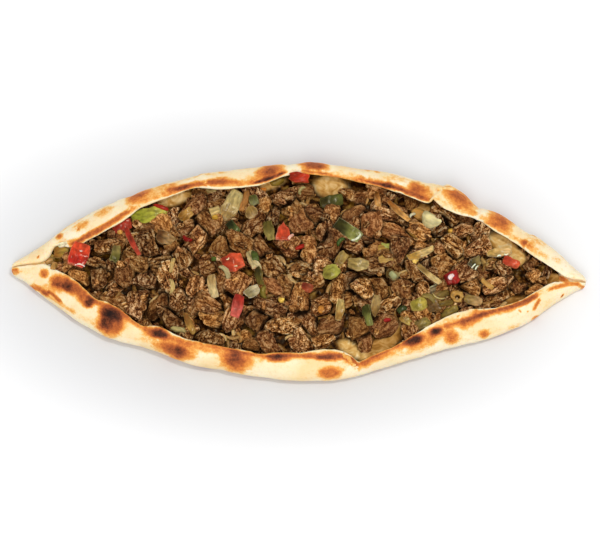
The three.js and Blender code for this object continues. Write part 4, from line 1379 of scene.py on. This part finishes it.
def dropShreds(tree):  # loose shreds at random places, in the gaps rather than on the pieces
    rng = np.random.default_rng(looseShreds["seed"])
    (left, right), gap = looseShreds["ends"], looseShreds["wallGap"]
    spots = []
    while len(spots) < looseShreds["count"]:
        x = rng.uniform(bedSettings["start"] + left, bedSettings["end"] - right)
        y = rng.uniform(wallAt(x, -1) + gap, wallAt(x, 1) - gap)
        hit, normal = castDown(tree, x, y)
        if hit is None or not isClear(x, y, 1) or isBare(hit / mm, 3):
            continue
        if hit.z / mm > coreTop(x, y) + looseShreds["highest"]:
            continue
        size = [rng.uniform(*looseShreds[side]) for side in sides]
        spots.append({"hit": hit, "normal": normal, "size": size, "turn": rng.uniform(0, 180),
                      "colour": looseShreds["colours"][rng.integers(len(looseShreds["colours"]))]})
    return spots


filled = treeOf(crust, bed, filler, cubes, strips, crumbs,
                *[bpy.data.objects[kind[0]] for kind in vegetableKinds.values()])
strewn["onion_shreds_and_painted_highlights"][2].extend(dropShreds(filled))
shredBase = blockBase(4)
for name, (slot, roundness, spots) in strewn.items():
    look = next(kind[2] for kind in vegetableKinds.values() if kind[1] == slot)
    shreds = [makeShred(shredBase, filled, spot, roundness, i) for i, spot in enumerate(spots)]
    finishPiece(join(shreds, name), look, slot)
    print(name, len(spots), "pieces")

crustFlakes = [  # bits of crust that stand up from the folds
    {"pixel": (446, 188.5), "size": (11, 2.2, 0.9), "turn": 3, "bend": 0.04, "browning": 0.14},
    {"pixel": (345, 356), "size": (4, 2, 0.9), "turn": -35, "browning": 0.28},
    {"pixel": (349.5, 360), "size": (3.6, 2.2, 1), "turn": -60, "browning": 0.26},
    {"pixel": (353, 364.5), "size": (3.2, 1.8, 0.9), "turn": -30, "browning": 0.22},
    {"pixel": (356, 367.5), "size": (2.6, 1.4, 0.8), "turn": 40, "browning": 0.12},
]
flakes = []
for i, spot in enumerate(crustFlakes):
    flake = makeShred(shredBase, crustTree, spot, 0.5, 300 + i)
    setAttribute(flake, "browning", np.full(len(flake.data.vertices), spot["browning"]))
    setAttribute(flake, "wetAndShaded", np.zeros(len(flake.data.vertices)))
    flakes.append(flake)
finishPiece(join(flakes, "crust_flakes"), breadLook, "crust")
bpy.data.objects.remove(shredBase)
print("crust_flakes", len(crustFlakes), "pieces")


stageSettings = {
    # the floor's painted shadow runs from the first colour near the bread to white
    "floorSize": 6000, "floorShadowColours": [(0, "#d5d6d8"), (1, "#ffffff")], "sky": 0.68,
    "floorGap": 0.05,
    "lamps": [  # name, place, size and power
        ("key", (260, 20, 1200), 60, 4.3),
        ("softbox", (-100, -700, 1000), 500, 3.8),
    ],
}


# White paper with a painted shadow: grey round the bread, as shade, and white further out.
def paperWithPaintedShadow():
    material, tree = newMaterial("white_paper_with_painted_shadow")
    narrowed = addNode(tree, "ShaderNodeMapping", {"Location": (8 * mm, 4 * mm, 0), "Scale": (0.56, 1, 1)},
                       {"Vector": objectPlace(tree)}).outputs[0]
    away = addNode(tree, "ShaderNodeVectorMath", None, {0: narrowed}, operation="LENGTH").outputs["Value"]
    share = rangeNode(tree, away, 0.06, 0.15, curve="SMOOTHSTEP")
    addSurface(tree, {"Roughness": 0.9}, {"Base Color": rampNode(tree, share, stageSettings["floorShadowColours"])})
    return material


def makeStage():
    deselect()
    place = (0, 0, -stageSettings["floorGap"] * mm)
    bpy.ops.mesh.primitive_plane_add(size=stageSettings["floorSize"] * mm, location=place)
    floor = bpy.context.object
    floor.name = "floor"
    bpy.ops.object.transform_apply()
    floor.data.materials.append(paperWithPaintedShadow())


def makeLights():
    world = bpy.data.worlds.new("studio")
    bpy.context.scene.world = world
    world.use_nodes = True
    sky = world.node_tree.nodes["Background"]
    sky.inputs["Color"].default_value = (1, 1, 1, 1)
    sky.inputs["Strength"].default_value = stageSettings["sky"]
    for name, place, size, power in stageSettings["lamps"]:
        light = bpy.data.lights.new(name, "AREA")
        light.energy = power
        light.size = size * mm
        lamp = newObject(name, light)
        lamp.location = Vector(place) * mm
        lamp.rotation_euler = (-lamp.location).to_track_quat("-Z", "Y").to_euler()
    bpy.context.scene.view_settings.view_transform = "Standard"


makeStage()
makeLights()
print("floor and lights")

print("done")
